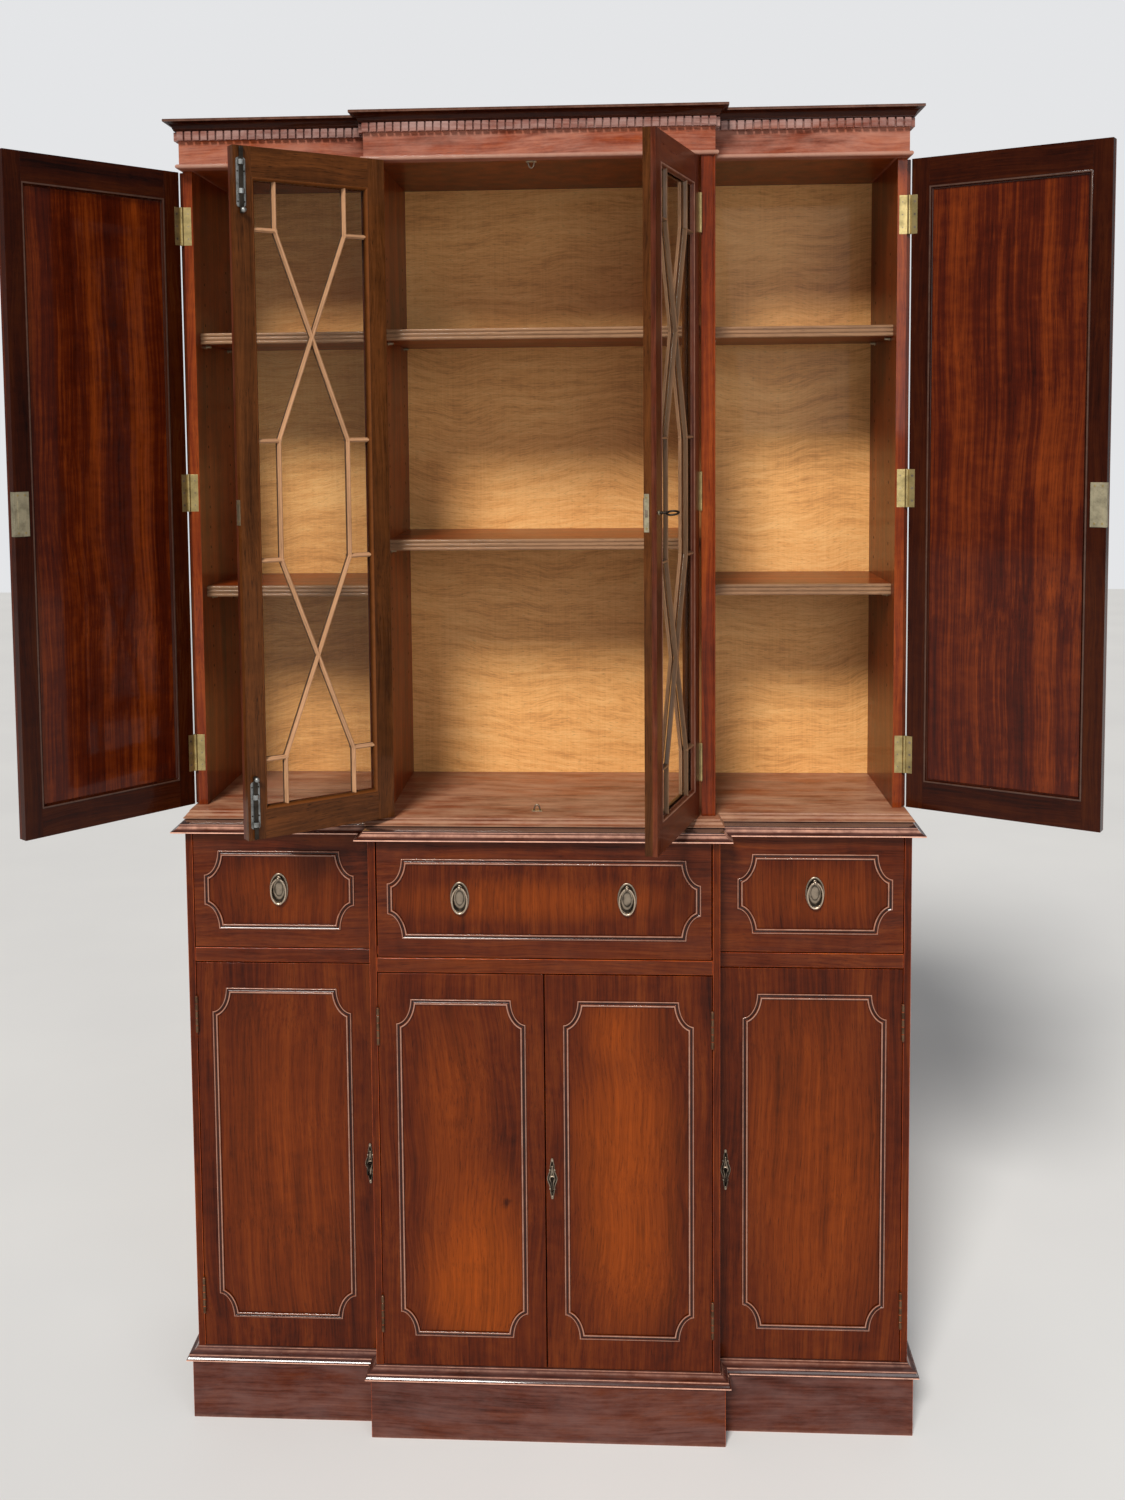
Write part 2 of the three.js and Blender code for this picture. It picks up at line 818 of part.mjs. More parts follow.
function bookcasePartition() {
  const outside = -upperForm.centreHalf;
  const front = upperForm.centreFront;
  const back = boardPlane - fitGap;
  const groove = outside + pilasterGrooveEdge;
  const plan = [
    [outside, front], [groove, front], [groove, front + pilasterGrooveDepth],
    [groove + pilasterGrooveWidth, front + pilasterGrooveDepth], [groove + pilasterGrooveWidth, front],
    [outside + pilasterWidth, front], [outside + pilasterWidth, back], [outside, back],
  ];
  return planSolid(plan, upperFloorTop + fitGap, friezeBottom - fitGap);
}

function bookcaseBack() {
  return boxBetween(
    [-upperForm.halfWidth, boardPlane, upperFloorTop + fitGap],
    [upperForm.halfWidth, backPlane, friezeBottom - fitGap],
  );
}

function bookcaseRoof() {
  const inner = grownForm(upperForm, -friezeThickness - fitGap, -friezeThickness - fitGap);
  const board = planSolid(breakfront(inner), friezeBottom, friezeBottom + roofThickness);
  return cut(board, boltHole(friezeBottom - overrun, friezeBottom + roofThickness + overrun));
}

// A shelf with two fine grooves along its front edge
function shelf(left, right, front, bottom) {
  const back = boardPlane - fitGap;
  const top = bottom + shelfThickness;
  const lowReed = bottom + reedEdge;
  const highReed = top - reedEdge;
  const profile = [
    [front, bottom], [back, bottom], [back, top], [front, top],
    [front, highReed], [front + reedDepth, highReed - reedWidth / 2], [front, highReed - reedWidth],
    [front, lowReed + reedWidth], [front + reedDepth, lowReed + reedWidth / 2], [front, lowReed],
  ];
  return sideSolid(profile, left + fitGap, right - fitGap);
}

// Cornice

function frieze() {
  const beadShares = [[0.5, 0], [0.9, 0.15], [1, 0.5], [0.9, 0.85], [0.5, 1], [0, 1]];
  const bead = beadShares.map(([out, rise]) => [out * beadProud, friezeBottom + rise * beadHeight]);
  const profile = [[-friezeThickness, friezeBottom], ...bead, [0, friezeTop], [-friezeThickness, friezeTop]];
  return breakfrontBand(upperForm, profile);
}

// A row of teeth on a thin ground, carried round both sides and the front
function dentilCourse() {
  const ground = breakfront(grownForm(upperForm, dentilGround, dentilGround));
  const inner = breakfront(grownForm(upperForm, fitGap, fitGap));
  const pitch = dentilWidth + dentilSpace;
  const stand = dentilProud - dentilGround;
  const insideCorners = [2, 5];
  const outline = [];
  for (let run = 0; run + 1 < ground.length; run += 1) {
    const start = new THREE.Vector2(...ground[run]);
    const end = new THREE.Vector2(...ground[run + 1]);
    const along = end.clone().sub(start).normalize();
    const outward = new THREE.Vector2(along.y, -along.x);
    const lead = insideCorners.includes(run) ? dentilProud : 0;
    const tail = insideCorners.includes(run + 1) ? dentilProud : 0;
    const free = end.distanceTo(start) - lead - tail;
    const count = Math.floor(free / pitch);
    const step = free / count;
    outline.push(ground[run]);
    for (let tooth = 0; tooth < count; tooth += 1) {
      const from = lead + tooth * step + (step - dentilWidth) / 2;
      const root = start.clone().addScaledVector(along, from);
      const tip = root.clone().addScaledVector(outward, stand);
      const farTip = tip.clone().addScaledVector(along, dentilWidth);
      const farRoot = root.clone().addScaledVector(along, dentilWidth);
      outline.push(...[root, tip, farTip, farRoot].map((point) => point.toArray()));
    }
  }
  outline.push(ground[ground.length - 1], ...inner.reverse());
  return planSolid(outline, dentilBottom, dentilBottom + dentilHeight);
}

// Share of the height, and share of the way from the foot out to the top edge
const crownShares = [[0, 0], [0.25, 0.06], [0.45, 0.22], [0.62, 0.5], [0.72, 0.86], [0.78, 1], [1, 1]];

function crown() {
  const bottom = friezeTop + fitGap;
  const hollow = crownShares.map(([rise, out]) => [
    crownFoot + (crownProud - crownFoot) * out,
    bottom + (totalHeight - bottom) * rise,
  ]);
  const profile = [[-friezeThickness, bottom], ...hollow, [-friezeThickness, totalHeight]];
  return breakfrontBand(upperForm, profile);
}

// Upper doors, modelled shut and hinged at their left edge

function sideDoor() {
  const left = -upperForm.halfWidth;
  const right = -upperForm.centreHalf - doorGap;
  const face = upperForm.front;
  const back = face + upperDoorThickness;
  const board = boxBetween([left, face, upperDoorBottom], [right, back, upperDoorTop]);
  const sunk = boxBetween(
    [left + upperStile, back - panelSink, upperDoorBottom + upperRail],
    [right - upperStile, back + overrun, upperDoorTop - upperRail],
  );
  const frame = scoopedMoulding(
    left + upperDoorMargin,
    right - upperDoorMargin,
    upperDoorBottom + upperDoorMargin,
    upperDoorTop - upperDoorMargin,
    face,
  );
  const pin = sidePin();
  const leaf = { left: pin.x, right: left + leafReach, front: back - leafThickness - fitGap, back: back - fitGap };
  return joined(cut(board, sunk), frame, ...upperKnuckles(pin, sideKnuckle, leaf));
}

function sidePin() {
  return new THREE.Vector3(
    -upperForm.halfWidth - sideKnuckle - knuckleClear,
    upperForm.front + upperDoorThickness + fitGap / 2,
    0,
  );
}

function upperKnuckles(pin, radius, leaf) {
  const middle = (upperDoorBottom + upperDoorTop) / 2;
  const places = [upperDoorBottom + hingeEnd, middle, upperDoorTop - hingeEnd];
  return places.map((place) => knuckle(pin, radius, place, leaf));
}

function glazedPin() {
  return new THREE.Vector3(
    -centreHalfInside + doorGap / 2,
    upperForm.centreFront - faceKnuckle - fitGap,
    0,
  );
}

// The sight opening of a glazed door
function sightOpening() {
  return {
    left: -centreHalfInside + doorGap + upperStile,
    right: -meetingGap - upperStile,
    bottom: upperDoorBottom + upperRail,
    top: upperDoorTop - upperRail,
  };
}

// Glazing bars as shares of the opening, across from the left and down from the top
const barShares = [
  [[0.2, 0], [0.2, 0.08]], [[0.8, 0], [0.8, 0.08]],
  [[0, 0.08], [0.2, 0.08]], [[0.8, 0.08], [1, 0.08]],
  [[0.2, 0.08], [0.8, 0.41]], [[0.8, 0.08], [0.2, 0.41]],
  [[0, 0.41], [0.2, 0.41]], [[0.8, 0.41], [1, 0.41]],
  [[0.2, 0.41], [0.2, 0.6]], [[0.8, 0.41], [0.8, 0.6]],
  [[0, 0.6], [0.2, 0.6]], [[0.8, 0.6], [1, 0.6]],
  [[0.2, 0.6], [0.8, 0.92]], [[0.8, 0.6], [0.2, 0.92]],
  [[0, 0.92], [0.2, 0.92]], [[0.8, 0.92], [1, 0.92]],
  [[0.2, 0.92], [0.2, 1]], [[0.8, 0.92], [0.8, 1]],
];

function glazingBar(start, end, front, back) {
  const along = new THREE.Vector2(end[0] - start[0], end[1] - start[1]).normalize();
  const half = barWidth / 2;
  const [alongX, alongZ] = [along.x * half, along.y * half];
  const outline = [
    [start[0] - alongX - alongZ, start[1] - alongZ + alongX],
    [start[0] - alongX + alongZ, start[1] - alongZ - alongX],
    [end[0] + alongX + alongZ, end[1] + alongZ - alongX],
    [end[0] + alongX - alongZ, end[1] + alongZ + alongX],
  ];
  return faceSolid(outline, front, back);
}

function glazedDoor() {
  const left = -centreHalfInside + doorGap;
  const right = -meetingGap;
  const face = upperForm.centreFront;
  const sight = sightOpening();
  const frame = faceSolid(
    rectangle(left, right, upperDoorBottom, upperDoorTop),
    face,
    glazedBack,
    [rectangle(sight.left, sight.right, sight.bottom, sight.top)],
  );
  const reach = glassEdge + fitGap;
  const paneBack = glazedBack - glassBack;
  const groove = boxBetween(
    [sight.left - reach, paneBack - glassThickness - fitGap, sight.bottom - reach],
    [sight.right + reach, paneBack + fitGap, sight.top + reach],
  );
  const width = sight.right - sight.left;
  const height = sight.top - sight.bottom;
  const place = ([across, down]) => [sight.left + across * width, sight.top - down * height];
  const barBack = paneBack - glassThickness - fitGap;
  const bars = barShares.map(([start, end]) => glazingBar(place(start), place(end), face + barInset, barBack));
  const pin = glazedPin();
  const leaf = { left: left - doorGap / 2, right: left + leafThickness, front: pin.y, back: face + leafReach };
  return joined(cut(frame, groove), ...bars, ...upperKnuckles(pin, faceKnuckle, leaf));
}

function glassPane() {
  const sight = sightOpening();
  const back = glazedBack - glassBack;
  return boxBetween(
    [sight.left - glassEdge, back - glassThickness, sight.bottom - glassEdge],
    [sight.right + glassEdge, back, sight.top + glassEdge],
  );
}

// Surface bolts. Distances along a bolt are measured from the door's end, inward.

const boltX = -meetingGap - boltEdge;
const boltFront = glazedBack + boltPlateThickness + fitGap;
const boltBack = boltFront + boltThickness;

function boltHole(bottom, top) {
  const half = boltWidth / 2 + boltPlay;
  return boxBetween(
    [boltX - half, boltFront - boltPlay - fitGap, bottom],
    [boltX + half, boltBack + boltPlay, top],
  );
}

// The bolt's place along the door: from the top end downward, or from the bottom end upward
function fromEnd(end, distance) {
  return end > 0 ? upperDoorTop - distance : upperDoorBottom + distance;
}

function boltBox(end, halfWidth, front, back, start, finish) {
  const heights = [fromEnd(end, start), fromEnd(end, finish)].sort((a, b) => a - b);
  return boxBetween([boltX - halfWidth, front, heights[0]], [boltX + halfWidth, back, heights[1]]);
}

// The bolt's back plate with the two bridges that it slides through
function boltCase(end) {
  const half = boltPlateWidth / 2;
  const plateBack = glazedBack + boltPlateThickness;
  const plateEnd = boltPlateStart + boltPlateLength;
  const sunk = glazedBack - boltPlateThickness;
  const plate = boltBox(end, half, sunk, plateBack, boltPlateStart, plateEnd);
  const front = boltBack + fitGap + boltBridgeWall;
  const bridges = [boltBridgeStart, boltBridgeStart + boltBridgeSpacing].map((start) => {
    return boltBox(end, half, sunk, front, start, start + boltBridgeHeight);
  });
  const tunnel = boltBox(
    end,
    boltWidth / 2 + fitGap,
    plateBack,
    boltBack + fitGap,
    -overrun,
    plateEnd + overrun,
  );
  return cut(joined(plate, ...bridges), tunnel);
}

function bolt(end) {
  const slide = boltBox(end, boltWidth / 2, boltFront, boltBack, levelGap, boltKnobDistance + boltKnobRadius);
  const height = fromEnd(end, boltKnobDistance);
  const knob = rod(
    boltKnobRadius,
    new THREE.Vector3(boltX, boltBack - boltThickness / 2, height),
    new THREE.Vector3(boltX, boltBack + boltKnobLength, height),
    knuckleSides,
  );
  return joined(slide, knob);
}

// Assembly

const bookcase = new THREE.Group();

function piece(name, geometry, material) {
  const mesh = new THREE.Mesh(geometry, materials[material]);
  mesh.name = name;
  return mesh;
}

// Hangs shut pieces on their pin and turns them open
function hang(pin, turn, meshes) {
  const group = new THREE.Group();
  group.position.copy(pin);
  group.rotation.z = THREE.MathUtils.degToRad(turn);
  for (const mesh of meshes) {
    mesh.position.sub(pin);
    group.add(mesh);
  }
  return group;
}

function onTheRight(pin) {
  return new THREE.Vector3(-pin.x, pin.y, pin.z);
}

function both(name, geometry, material) {
  return [
    piece(`${name}_left`, geometry, material),
    piece(`${name}_right`, mirrored(geometry), material),
  ];
}

bookcase.add(
  piece('plinth', plinth(), 'polished'),
  piece('base_floor', baseFloor(), 'polished'),
  ...both('base_side', baseSide(), 'polished'),
  ...both('base_partition', basePartition(), 'polished'),
  piece('base_back', baseBack(), 'interior'),
  piece('base_top', baseTop(), 'polished'),
  piece('bookcase_floor', bookcaseFloor(), 'panel'),
  ...both('bookcase_side', bookcaseSide(), 'panel'),
  ...both('bookcase_partition', bookcasePartition(), 'panel'),
  piece('bookcase_back', bookcaseBack(), 'interior'),
  piece('bookcase_roof', bookcaseRoof(), 'panel'),
  piece('frieze', frieze(), 'polished'),
  piece('dentil_course', dentilCourse(), 'polished'),
  piece('crown', crown(), 'polished'),
);

bookcase.add(...both('rail', sideRail(), 'polished'), piece('rail_centre', centreRail(), 'polished'));

const sideShelfFront = carcassFront + shelfSetback;
const centreShelfFront = glazedBack + shelfSetback;
for (const [place, height, centreHeight] of [
  ['upper', topShelfHeight, topShelfHeight],
  ['lower', sideShelfHeight, centreShelfHeight],
]) {
  const side = shelf(-sideInside, -upperForm.centreHalf, sideShelfFront, height);
  const centre = shelf(-centreHalfInside, centreHalfInside, centreShelfFront, centreHeight);
  bookcase.add(...both(`shelf_${place}`, side, 'panel'), piece(`shelf_${place}_centre`, centre, 'panel'));
}

// Side doors of the bookcase
const [sideDoorLeft, sideDoorRight] = both('side_door', sideDoor(), 'polished');
bookcase.add(
  hang(sidePin(), -sideDoorLeftOpen, [sideDoorLeft]),
  hang(onTheRight(sidePin()), sideDoorRightOpen, [sideDoorRight]),
);

// Glazed doors: the left one carries the bolts, the right one the lock
const plainGlazed = glazedDoor();
const leftGlazed = joined(plainGlazed, boltCase(1), boltCase(-1));
const upperKeyX = meetingGap + upperKeyEdge;
const upperKey = key(0, 0, upperForm.centreFront);
upperKey.rotateY(THREE.MathUtils.degToRad(upperKeyTurn)).translate(upperKeyX, 0, upperKeyHeight);
const rightGlazed = cut(mirrored(plainGlazed), keyBore(upperKeyX, upperKeyHeight, upperForm.centreFront));
const [glassLeft, glassRight] = both('glass', glassPane(), 'glass');
bookcase.add(
  hang(glazedPin(), -glazedDoorLeftOpen, [
    piece('glazed_door_left', leftGlazed, 'polished'),
    glassLeft,
    piece('bolt_top', bolt(1), 'brass'),
    piece('bolt_bottom', bolt(-1), 'brass'),
  ]),
  hang(onTheRight(glazedPin()), glazedDoorRightOpen, [
    piece('glazed_door_right', rightGlazed, 'polished'),
    glassRight,
    piece('key_glazed', upperKey, 'iron'),
  ]),
);

// Lower doors with their escutcheons and keys
const sideMoulding = {
  left: -baseHalfWidth + sideDoorMargin,
  right: -centreHalfWidth - sideDoorMargin,
};
const sideRight = -centreHalfWidth - doorGap;
const sideKeyX = sideRight - escutcheonEdge;
const sideLeft = -baseHalfWidth + stileWidth + doorGap;
const sideLower = lowerDoor(sideLeft, sideRight, baseForm.front, sideMoulding, sideKeyX);
const centreLeft = -centreHalfWidth + stileWidth + doorGap;
const centreMoulding = { left: centreLeft + centreDoorMargin, right: -meetingGap - centreDoorMargin };
const centreLower = [centreLeft, -meetingGap, baseForm.centreFront, centreMoulding];
const centreKeyX = -meetingGap - escutcheonEdge;
bookcase.add(
  ...both('lower_door', sideLower, 'polished'),
  piece('lower_door_centre_left', lowerDoor(...centreLower, null), 'polished'),
  piece('lower_door_centre_right', mirrored(lowerDoor(...centreLower, centreKeyX)), 'polished'),
  ...both('escutcheon', escutcheon(sideKeyX, keyHeight, baseForm.front), 'brass'),
  ...both('key', key(sideKeyX, keyHeight, baseForm.front), 'iron'),
  piece('escutcheon_centre', escutcheon(-centreKeyX, keyHeight, baseForm.centreFront), 'brass'),
  piece('key_centre', key(-centreKeyX, keyHeight, baseForm.centreFront), 'iron'),
);

// Drawers with their handles
const handleHeight = (drawerBottom + drawerTop) / 2 + handleLift;
const centrePlate = [-centreHandleSpacing, handleHeight, baseForm.centreFront];
const sidePlate = [-bayCentre, handleHeight, baseForm.front];
bookcase.add(
  ...both('drawer', sideDrawer(), 'polished'),
  piece('secretaire_drawer', secretaireDrawer(), 'polished'),
  piece('fall_front', fallFront(), 'polished'),
  piece('secretaire_nest', secretaireNest(), 'panel'),
  ...both('handle_plate', handlePlate(...sidePlate), 'brass'),
  ...both('bail', bail(bailPivot(...sidePlate)), 'brass'),
  ...both('handle_plate_centre', handlePlate(...centrePlate), 'brass'),
  ...both('bail_centre', bail(bailPivot(...centrePlate)), 'brass'),
);

export default bookcase;
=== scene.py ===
"""A breakfront secretary bookcase in polished mahogany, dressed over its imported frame.

Metres, +Z up, the front faces -Y. Every piece is built shut and square, then turned about its own
hinge to where the frame has it standing open. Tables named profile, and the pairs given to block, are
in millimetres. Tables named shares hold parts of a whole.
"""

import json
from functools import partial
from math import cos, pi, radians, sin

import bpy
import numpy as np
from mathutils import Matrix, Vector


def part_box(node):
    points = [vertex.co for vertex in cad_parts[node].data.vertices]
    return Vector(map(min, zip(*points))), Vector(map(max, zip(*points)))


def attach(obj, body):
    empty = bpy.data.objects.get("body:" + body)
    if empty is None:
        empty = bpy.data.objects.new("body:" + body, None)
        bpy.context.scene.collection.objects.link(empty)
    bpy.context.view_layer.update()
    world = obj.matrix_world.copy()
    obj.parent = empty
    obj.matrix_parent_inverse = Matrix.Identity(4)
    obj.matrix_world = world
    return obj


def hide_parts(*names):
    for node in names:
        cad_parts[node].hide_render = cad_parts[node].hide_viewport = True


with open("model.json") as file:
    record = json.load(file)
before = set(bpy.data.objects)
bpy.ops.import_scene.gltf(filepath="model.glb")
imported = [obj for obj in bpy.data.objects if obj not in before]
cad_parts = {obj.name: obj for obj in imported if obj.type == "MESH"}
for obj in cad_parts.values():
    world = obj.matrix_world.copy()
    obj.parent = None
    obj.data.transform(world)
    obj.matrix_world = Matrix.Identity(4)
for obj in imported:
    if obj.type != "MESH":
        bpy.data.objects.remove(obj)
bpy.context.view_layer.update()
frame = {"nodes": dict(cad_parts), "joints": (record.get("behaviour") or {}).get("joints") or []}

bl_info = {
    "name": "Breakfront Secretary Bookcase",
    "version": (1, 0, 0),
    "blender": (4, 5, 0),
    "location": "View3D > Sidebar > Bookcase",
    "description": "Builds the cabinet work, brass and glass of a breakfront secretary bookcase",
    "category": "Add Mesh",
}

mm = 0.001
around = 2 * pi


# Sizes taken from the frame

class Box:
    """The lowest and highest corner of one node of the frame, by side."""

    def __init__(self, node):
        low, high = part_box(node)
        self.left, self.front, self.bottom = low
        self.right, self.back, self.top = high
        self.x = (self.left + self.right) / 2
        self.z = (self.bottom + self.top) / 2


class Hinge:
    """A door's pin, seen from above, and how far the frame has the door standing open about +Z."""

    def __init__(self, door):
        joint = joints[f"{door}_hinge"]
        self.pin = tuple(joint["pos_m"][:2])
        self.angle = radians(-joint["range_deg"][0]) * joint["axis"][2]


joints = {joint["name"]: joint for joint in frame["joints"]}
plinth_box = Box("plinth")
base_side = Box("base_side_left")
base_partition = Box("base_partition_left")
cupboard_box = Box("lower_door_left")
upper_floor = Box("bookcase_floor")
partition = Box("bookcase_partition_left")
upper_side = Box("bookcase_side_left")
frieze_box = Box("frieze")
crown_box = Box("crown")
fall_box = Box("fall_front")

door_gap = 1.5 * mm
meeting_gap = 1.2 * mm
stile_cover = 12.5 * mm
base_half = -base_side.left
base_centre_half = -base_partition.left - 7 * mm
side_bay = (-base_half + stile_cover, -base_centre_half - door_gap)
centre_bay = (-base_centre_half + stile_cover, -meeting_gap)
base_front = base_side.front
base_centre_front = base_partition.front
upper_half = -upper_side.left
upper_centre_half = -partition.left
upper_centre_front = partition.front
upper_front = upper_centre_front + (base_front - base_centre_front)
back_plane = plinth_box.back
carcass_front = upper_side.front
side_inside = -upper_side.right
bay_inside = -partition.right
upper_bottom, upper_top = Box("side_door_left").bottom, Box("side_door_left").top
upper_thick = 18 * mm
upper_back = upper_centre_front + upper_thick
glazed_key_z = Box("key_glazed").z
hung = {f"{kind}_{word}": Hinge(f"{kind}_{word}")
        for kind in ("side_door", "glazed_door") for word in ("left", "right")}


# Outlines and solids: each solid is a list of points, a list of faces and, point by point, how its
# grain lies and how worn it is, with painted highlight on crests and painted shade in hollows

class Solid:
    """Points, faces, grain coordinates and wear, which is rubbing with painted
    highlight and painted shade, kept together while a piece is being put together.
    """

    def __init__(self, points, faces, wear=None):
        self.points = np.asarray(points, float)
        self.faces = faces
        self.wear = np.zeros(len(self.points)) if wear is None else np.asarray(wear, float)
        self.grain = self.points.copy()

    def along(self, axis, shift=0.0):
        """Lays the grain along one axis: the third grain coordinate runs with it, and shift moves
        the whole pattern so that neighbouring boards differ."""
        order = {"x": (2, 1, 0), "y": (0, 2, 1), "z": (0, 1, 2)}[axis]
        self.grain = self.points[:, order] + np.array([shift, shift * 0.37, shift * 0.71])
        return self

    def rubbed(self, wear):
        """Worn alike all over."""
        self.wear[:] = wear
        return self

    def turned(self, pin, angle, axes=(0, 1)):
        """Turned by angle about a pin that stands square to two axes."""
        first, second = (self.points[:, axis] - at for axis, at in zip(axes, pin))
        self.points[:, axes[0]] = pin[0] + first * cos(angle) - second * sin(angle)
        self.points[:, axes[1]] = pin[1] + first * sin(angle) + second * cos(angle)
        return self

    def flipped(self):
        """The same solid on the other side of the centre line."""
        copy = Solid(self.points * (-1, 1, 1), [face[::-1] for face in self.faces], self.wear)
        copy.grain = self.grain * (-1, 1, 1)
        return copy


def facing_out(points, faces):
    """Faces turned round if the volume that they enclose, summed over fans of triangles, is negative."""
    volume = 0.0
    for face in faces:
        fan = points[list(face)]
        volume += (np.cross(fan[1:-1], fan[2:]) * fan[0]).sum()
    return faces if volume > 0 else [face[::-1] for face in faces]


def shell(rings, ring_round=False, wear=None):
    """A closed skin over rings, an array of rows x columns x 3. Each row is a closed outline and the
    next row is joined to it; the end rows are capped, unless ring_round joins the last to the first."""
    rings = np.asarray(rings, float)
    rows, columns = rings.shape[:2]
    index = np.arange(rows * columns).reshape(rows, columns)
    nearer, further = (index, np.roll(index, -1, 0)) if ring_round else (index[:-1], index[1:])
    quads = np.stack([nearer, np.roll(nearer, -1, 1), np.roll(further, -1, 1), further], -1)
    faces = [tuple(quad) for quad in quads.reshape(-1, 4).tolist()]
    if not ring_round:
        faces += [tuple(index[0][::-1].tolist()), tuple(index[-1].tolist())]
    points = rings.reshape(-1, 3)
    worn = None if wear is None else np.broadcast_to(wear, (rows, columns)).ravel()
    return Solid(points, facing_out(points, faces), worn)


def prism(outline, low, high, axis="z"):
    """An outline in the two other coordinates carried from a low plane to a high one along axis."""
    outline, at = np.asarray(outline, float), "xyz".index(axis)
    return shell([np.insert(outline, at, plane, 1) for plane in (low, high)])


def board(left, right, front, back, bottom, top):
    """A square board between six planes."""
    return prism([(left, front), (right, front), (right, back), (left, back)], bottom, top)


def block(at, across, deep, up):
    """A board between three pairs of planes, each given in millimetres from a point."""
    return board(*(start + reach * mm for start, pair in zip(at, (across, deep, up)) for reach in pair))


def stood(outline, y):
    """An outline in x and z stood up at a depth y."""
    return np.insert(np.asarray(outline, float), 1, y, 1)


def turns(steps, share=1.0):
    """Angles in even steps: once round, or from 0 to pi with both ends where share is a half."""
    return np.linspace(0, around * share, steps, endpoint=share < 1)


def oval(half_width, half_height, angle):
    """Points of an ellipse: (a cos t, b sin t)."""
    return np.column_stack([half_width * np.cos(angle), half_height * np.sin(angle)])


def lathe(profile, centre, axis="y", steps=24):
    """A profile of (radius, distance along the axis) turned about an axis through centre."""
    radius, reach = np.asarray(profile, float).T * mm
    u = radius[:, None] * np.cos(turns(steps))
    v = radius[:, None] * np.sin(turns(steps))
    w = np.broadcast_to(reach[:, None], u.shape)
    order = {"x": (w, u, v), "y": (u, w, v), "z": (u, v, w)}[axis]
    return shell(np.stack(order, -1) + np.asarray(centre))


def wire(path, radius, sides=10, ring_round=False):
    """A round wire along a path: at each point, centre + r (n cos t + b sin t), where n and b are
    square to the path."""
    path = np.asarray(path, float)
    run = np.roll(path, -1, 0) - np.roll(path, 1, 0) if ring_round else np.gradient(path, axis=0)
    run /= np.linalg.norm(run, axis=1, keepdims=True)
    flat = np.eye(3)[np.argmin(path.max(0) - path.min(0))]
    side = np.cross(run, flat)
    side /= np.linalg.norm(side, axis=1, keepdims=True)
    turn = turns(sides)[None, :, None]
    radius = np.broadcast_to(radius, len(path))[:, None, None]
    return shell(path[:, None] + radius * (side[:, None] * np.cos(turn) + flat * np.sin(turn)), ring_round)


def relief(outline, place, profile):
    """A plate pressed in relief at a place (x, face, z). Each row of the profile is a share of the
    outline, how far it stands off the face in millimetres, and its wear."""
    rings = [stood(outline * share, -high * mm) + place for share, high, _ in profile]
    return shell(rings, wear=np.array(profile)[:, 2:])


def breakfront(plan, side, front):
    """The plan of the breakfront grown outward at its sides and its front: back left, round the
    front, to back right."""
    h, c, f, g = plan[0] + side, plan[1] + side, plan[2] - front, plan[3] - front
    return np.array([
        (-h, back_plane), (-h, f), (-c, f), (-c, g), (c, g), (c, f), (h, f), (h, back_plane),
    ])


base_plan = (base_half, base_centre_half, base_front, base_centre_front)
upper_plan = (upper_half, upper_centre_half, upper_front, upper_centre_front)


def band(plan, profile):
    """A closed profile of (out, height, wear), in metres, mitred round the
    breakfront plan; the last is rubbing with painted highlight on crests and painted shade in hollows.
    """
    out, height, wear = np.asarray(profile, float).T
    corners = np.stack([breakfront(plan, distance, distance) for distance in out], 1)
    return shell(np.dstack([corners, np.broadcast_to(height, corners.shape[:2])]), wear=wear)


def moulded_board(plan, box, shares, lip, top):
    """A board whose edge is a moulding all round its front and sides. The shares are of the board's
    height and of the way from its top edge out to its lip, and then the wear, rubbing
    with painted highlight on crests and painted shade in hollows. Lip and top hold how
    far they stand out at the sides and at the front."""
    rings = []
    for rise, out, _ in shares:
        side, front = (start + (end - start) * out for start, end in zip(top, lip))
        height = box.bottom + (box.top - box.bottom) * rise
        rings.append(np.insert(breakfront(plan, side, front), 2, height, 1))
    return shell(rings, wear=np.array(shares)[:, 2:])


def scooped(left, right, bottom, top, inset, steps=12):
    """A rectangle with a quarter oval bitten out of each corner, drawn inset from its outer line.
    The oval's half axes are the scoop's sizes plus inset, its centre is the outer corner, and its
    quarter ends on the inset straight sides."""
    a, b = sizes().scoop_width + inset, sizes().scoop_height + inset
    angle = np.linspace(np.arcsin(inset / a), np.arccos(inset / b), steps)
    across, up = a * np.sin(angle), b * np.cos(angle)
    corners = [(left, bottom, 1, 1), (right, bottom, -1, 1), (right, top, -1, -1), (left, top, 1, -1)]
    runs = []
    for at, (x, z, toward_x, toward_z) in enumerate(corners):
        run = np.column_stack([x + toward_x * across, z + toward_z * up])
        runs.append(run if at % 2 == 0 else run[::-1])
    return np.vstack(runs)


def picture_moulding(left, right, bottom, top, plane, toward, profile):
    """A moulding led round a rectangle with mitred corners. The profile holds distance outward from
    the rectangle, distance from the plane (towards the front where toward is 1), and
    wear, rubbing with painted highlight on the crests."""
    rings = []
    for out, proud, _ in np.array(profile) * (mm, mm * toward, 1):
        corners = [(left - out, bottom - out), (right + out, bottom - out), (right + out, top + out),
                   (left - out, top + out)]
        rings.append(stood(corners, plane - proud))
    return shell(rings, ring_round=True, wear=np.array(profile)[:, 2:])


def mirrored(parts):
    """Parts carried over to the other side of the centre line."""
    return [(solid.flipped(), look) for solid, look in parts]


def handed(node, parts):
    """Parts as they are for the left side, and mirrored for the right one."""
    return mirrored(parts) if node.endswith("right") else parts


def opened(parts, hinge):
    """Parts turned about a hinge to where the frame has its door."""
    return [(solid.turned(hinge.pin, hinge.angle), look) for solid, look in parts]


def swung(door, parts):
    """Parts of a shut left door, put on their own side and turned to where the door stands open."""
    return opened(handed(door, parts), hung[door])


# Pieces

def placed(name, data):
    """A new object in the scene."""
    made = bpy.data.objects.new(name, data)
    bpy.context.collection.objects.link(made)
    return made


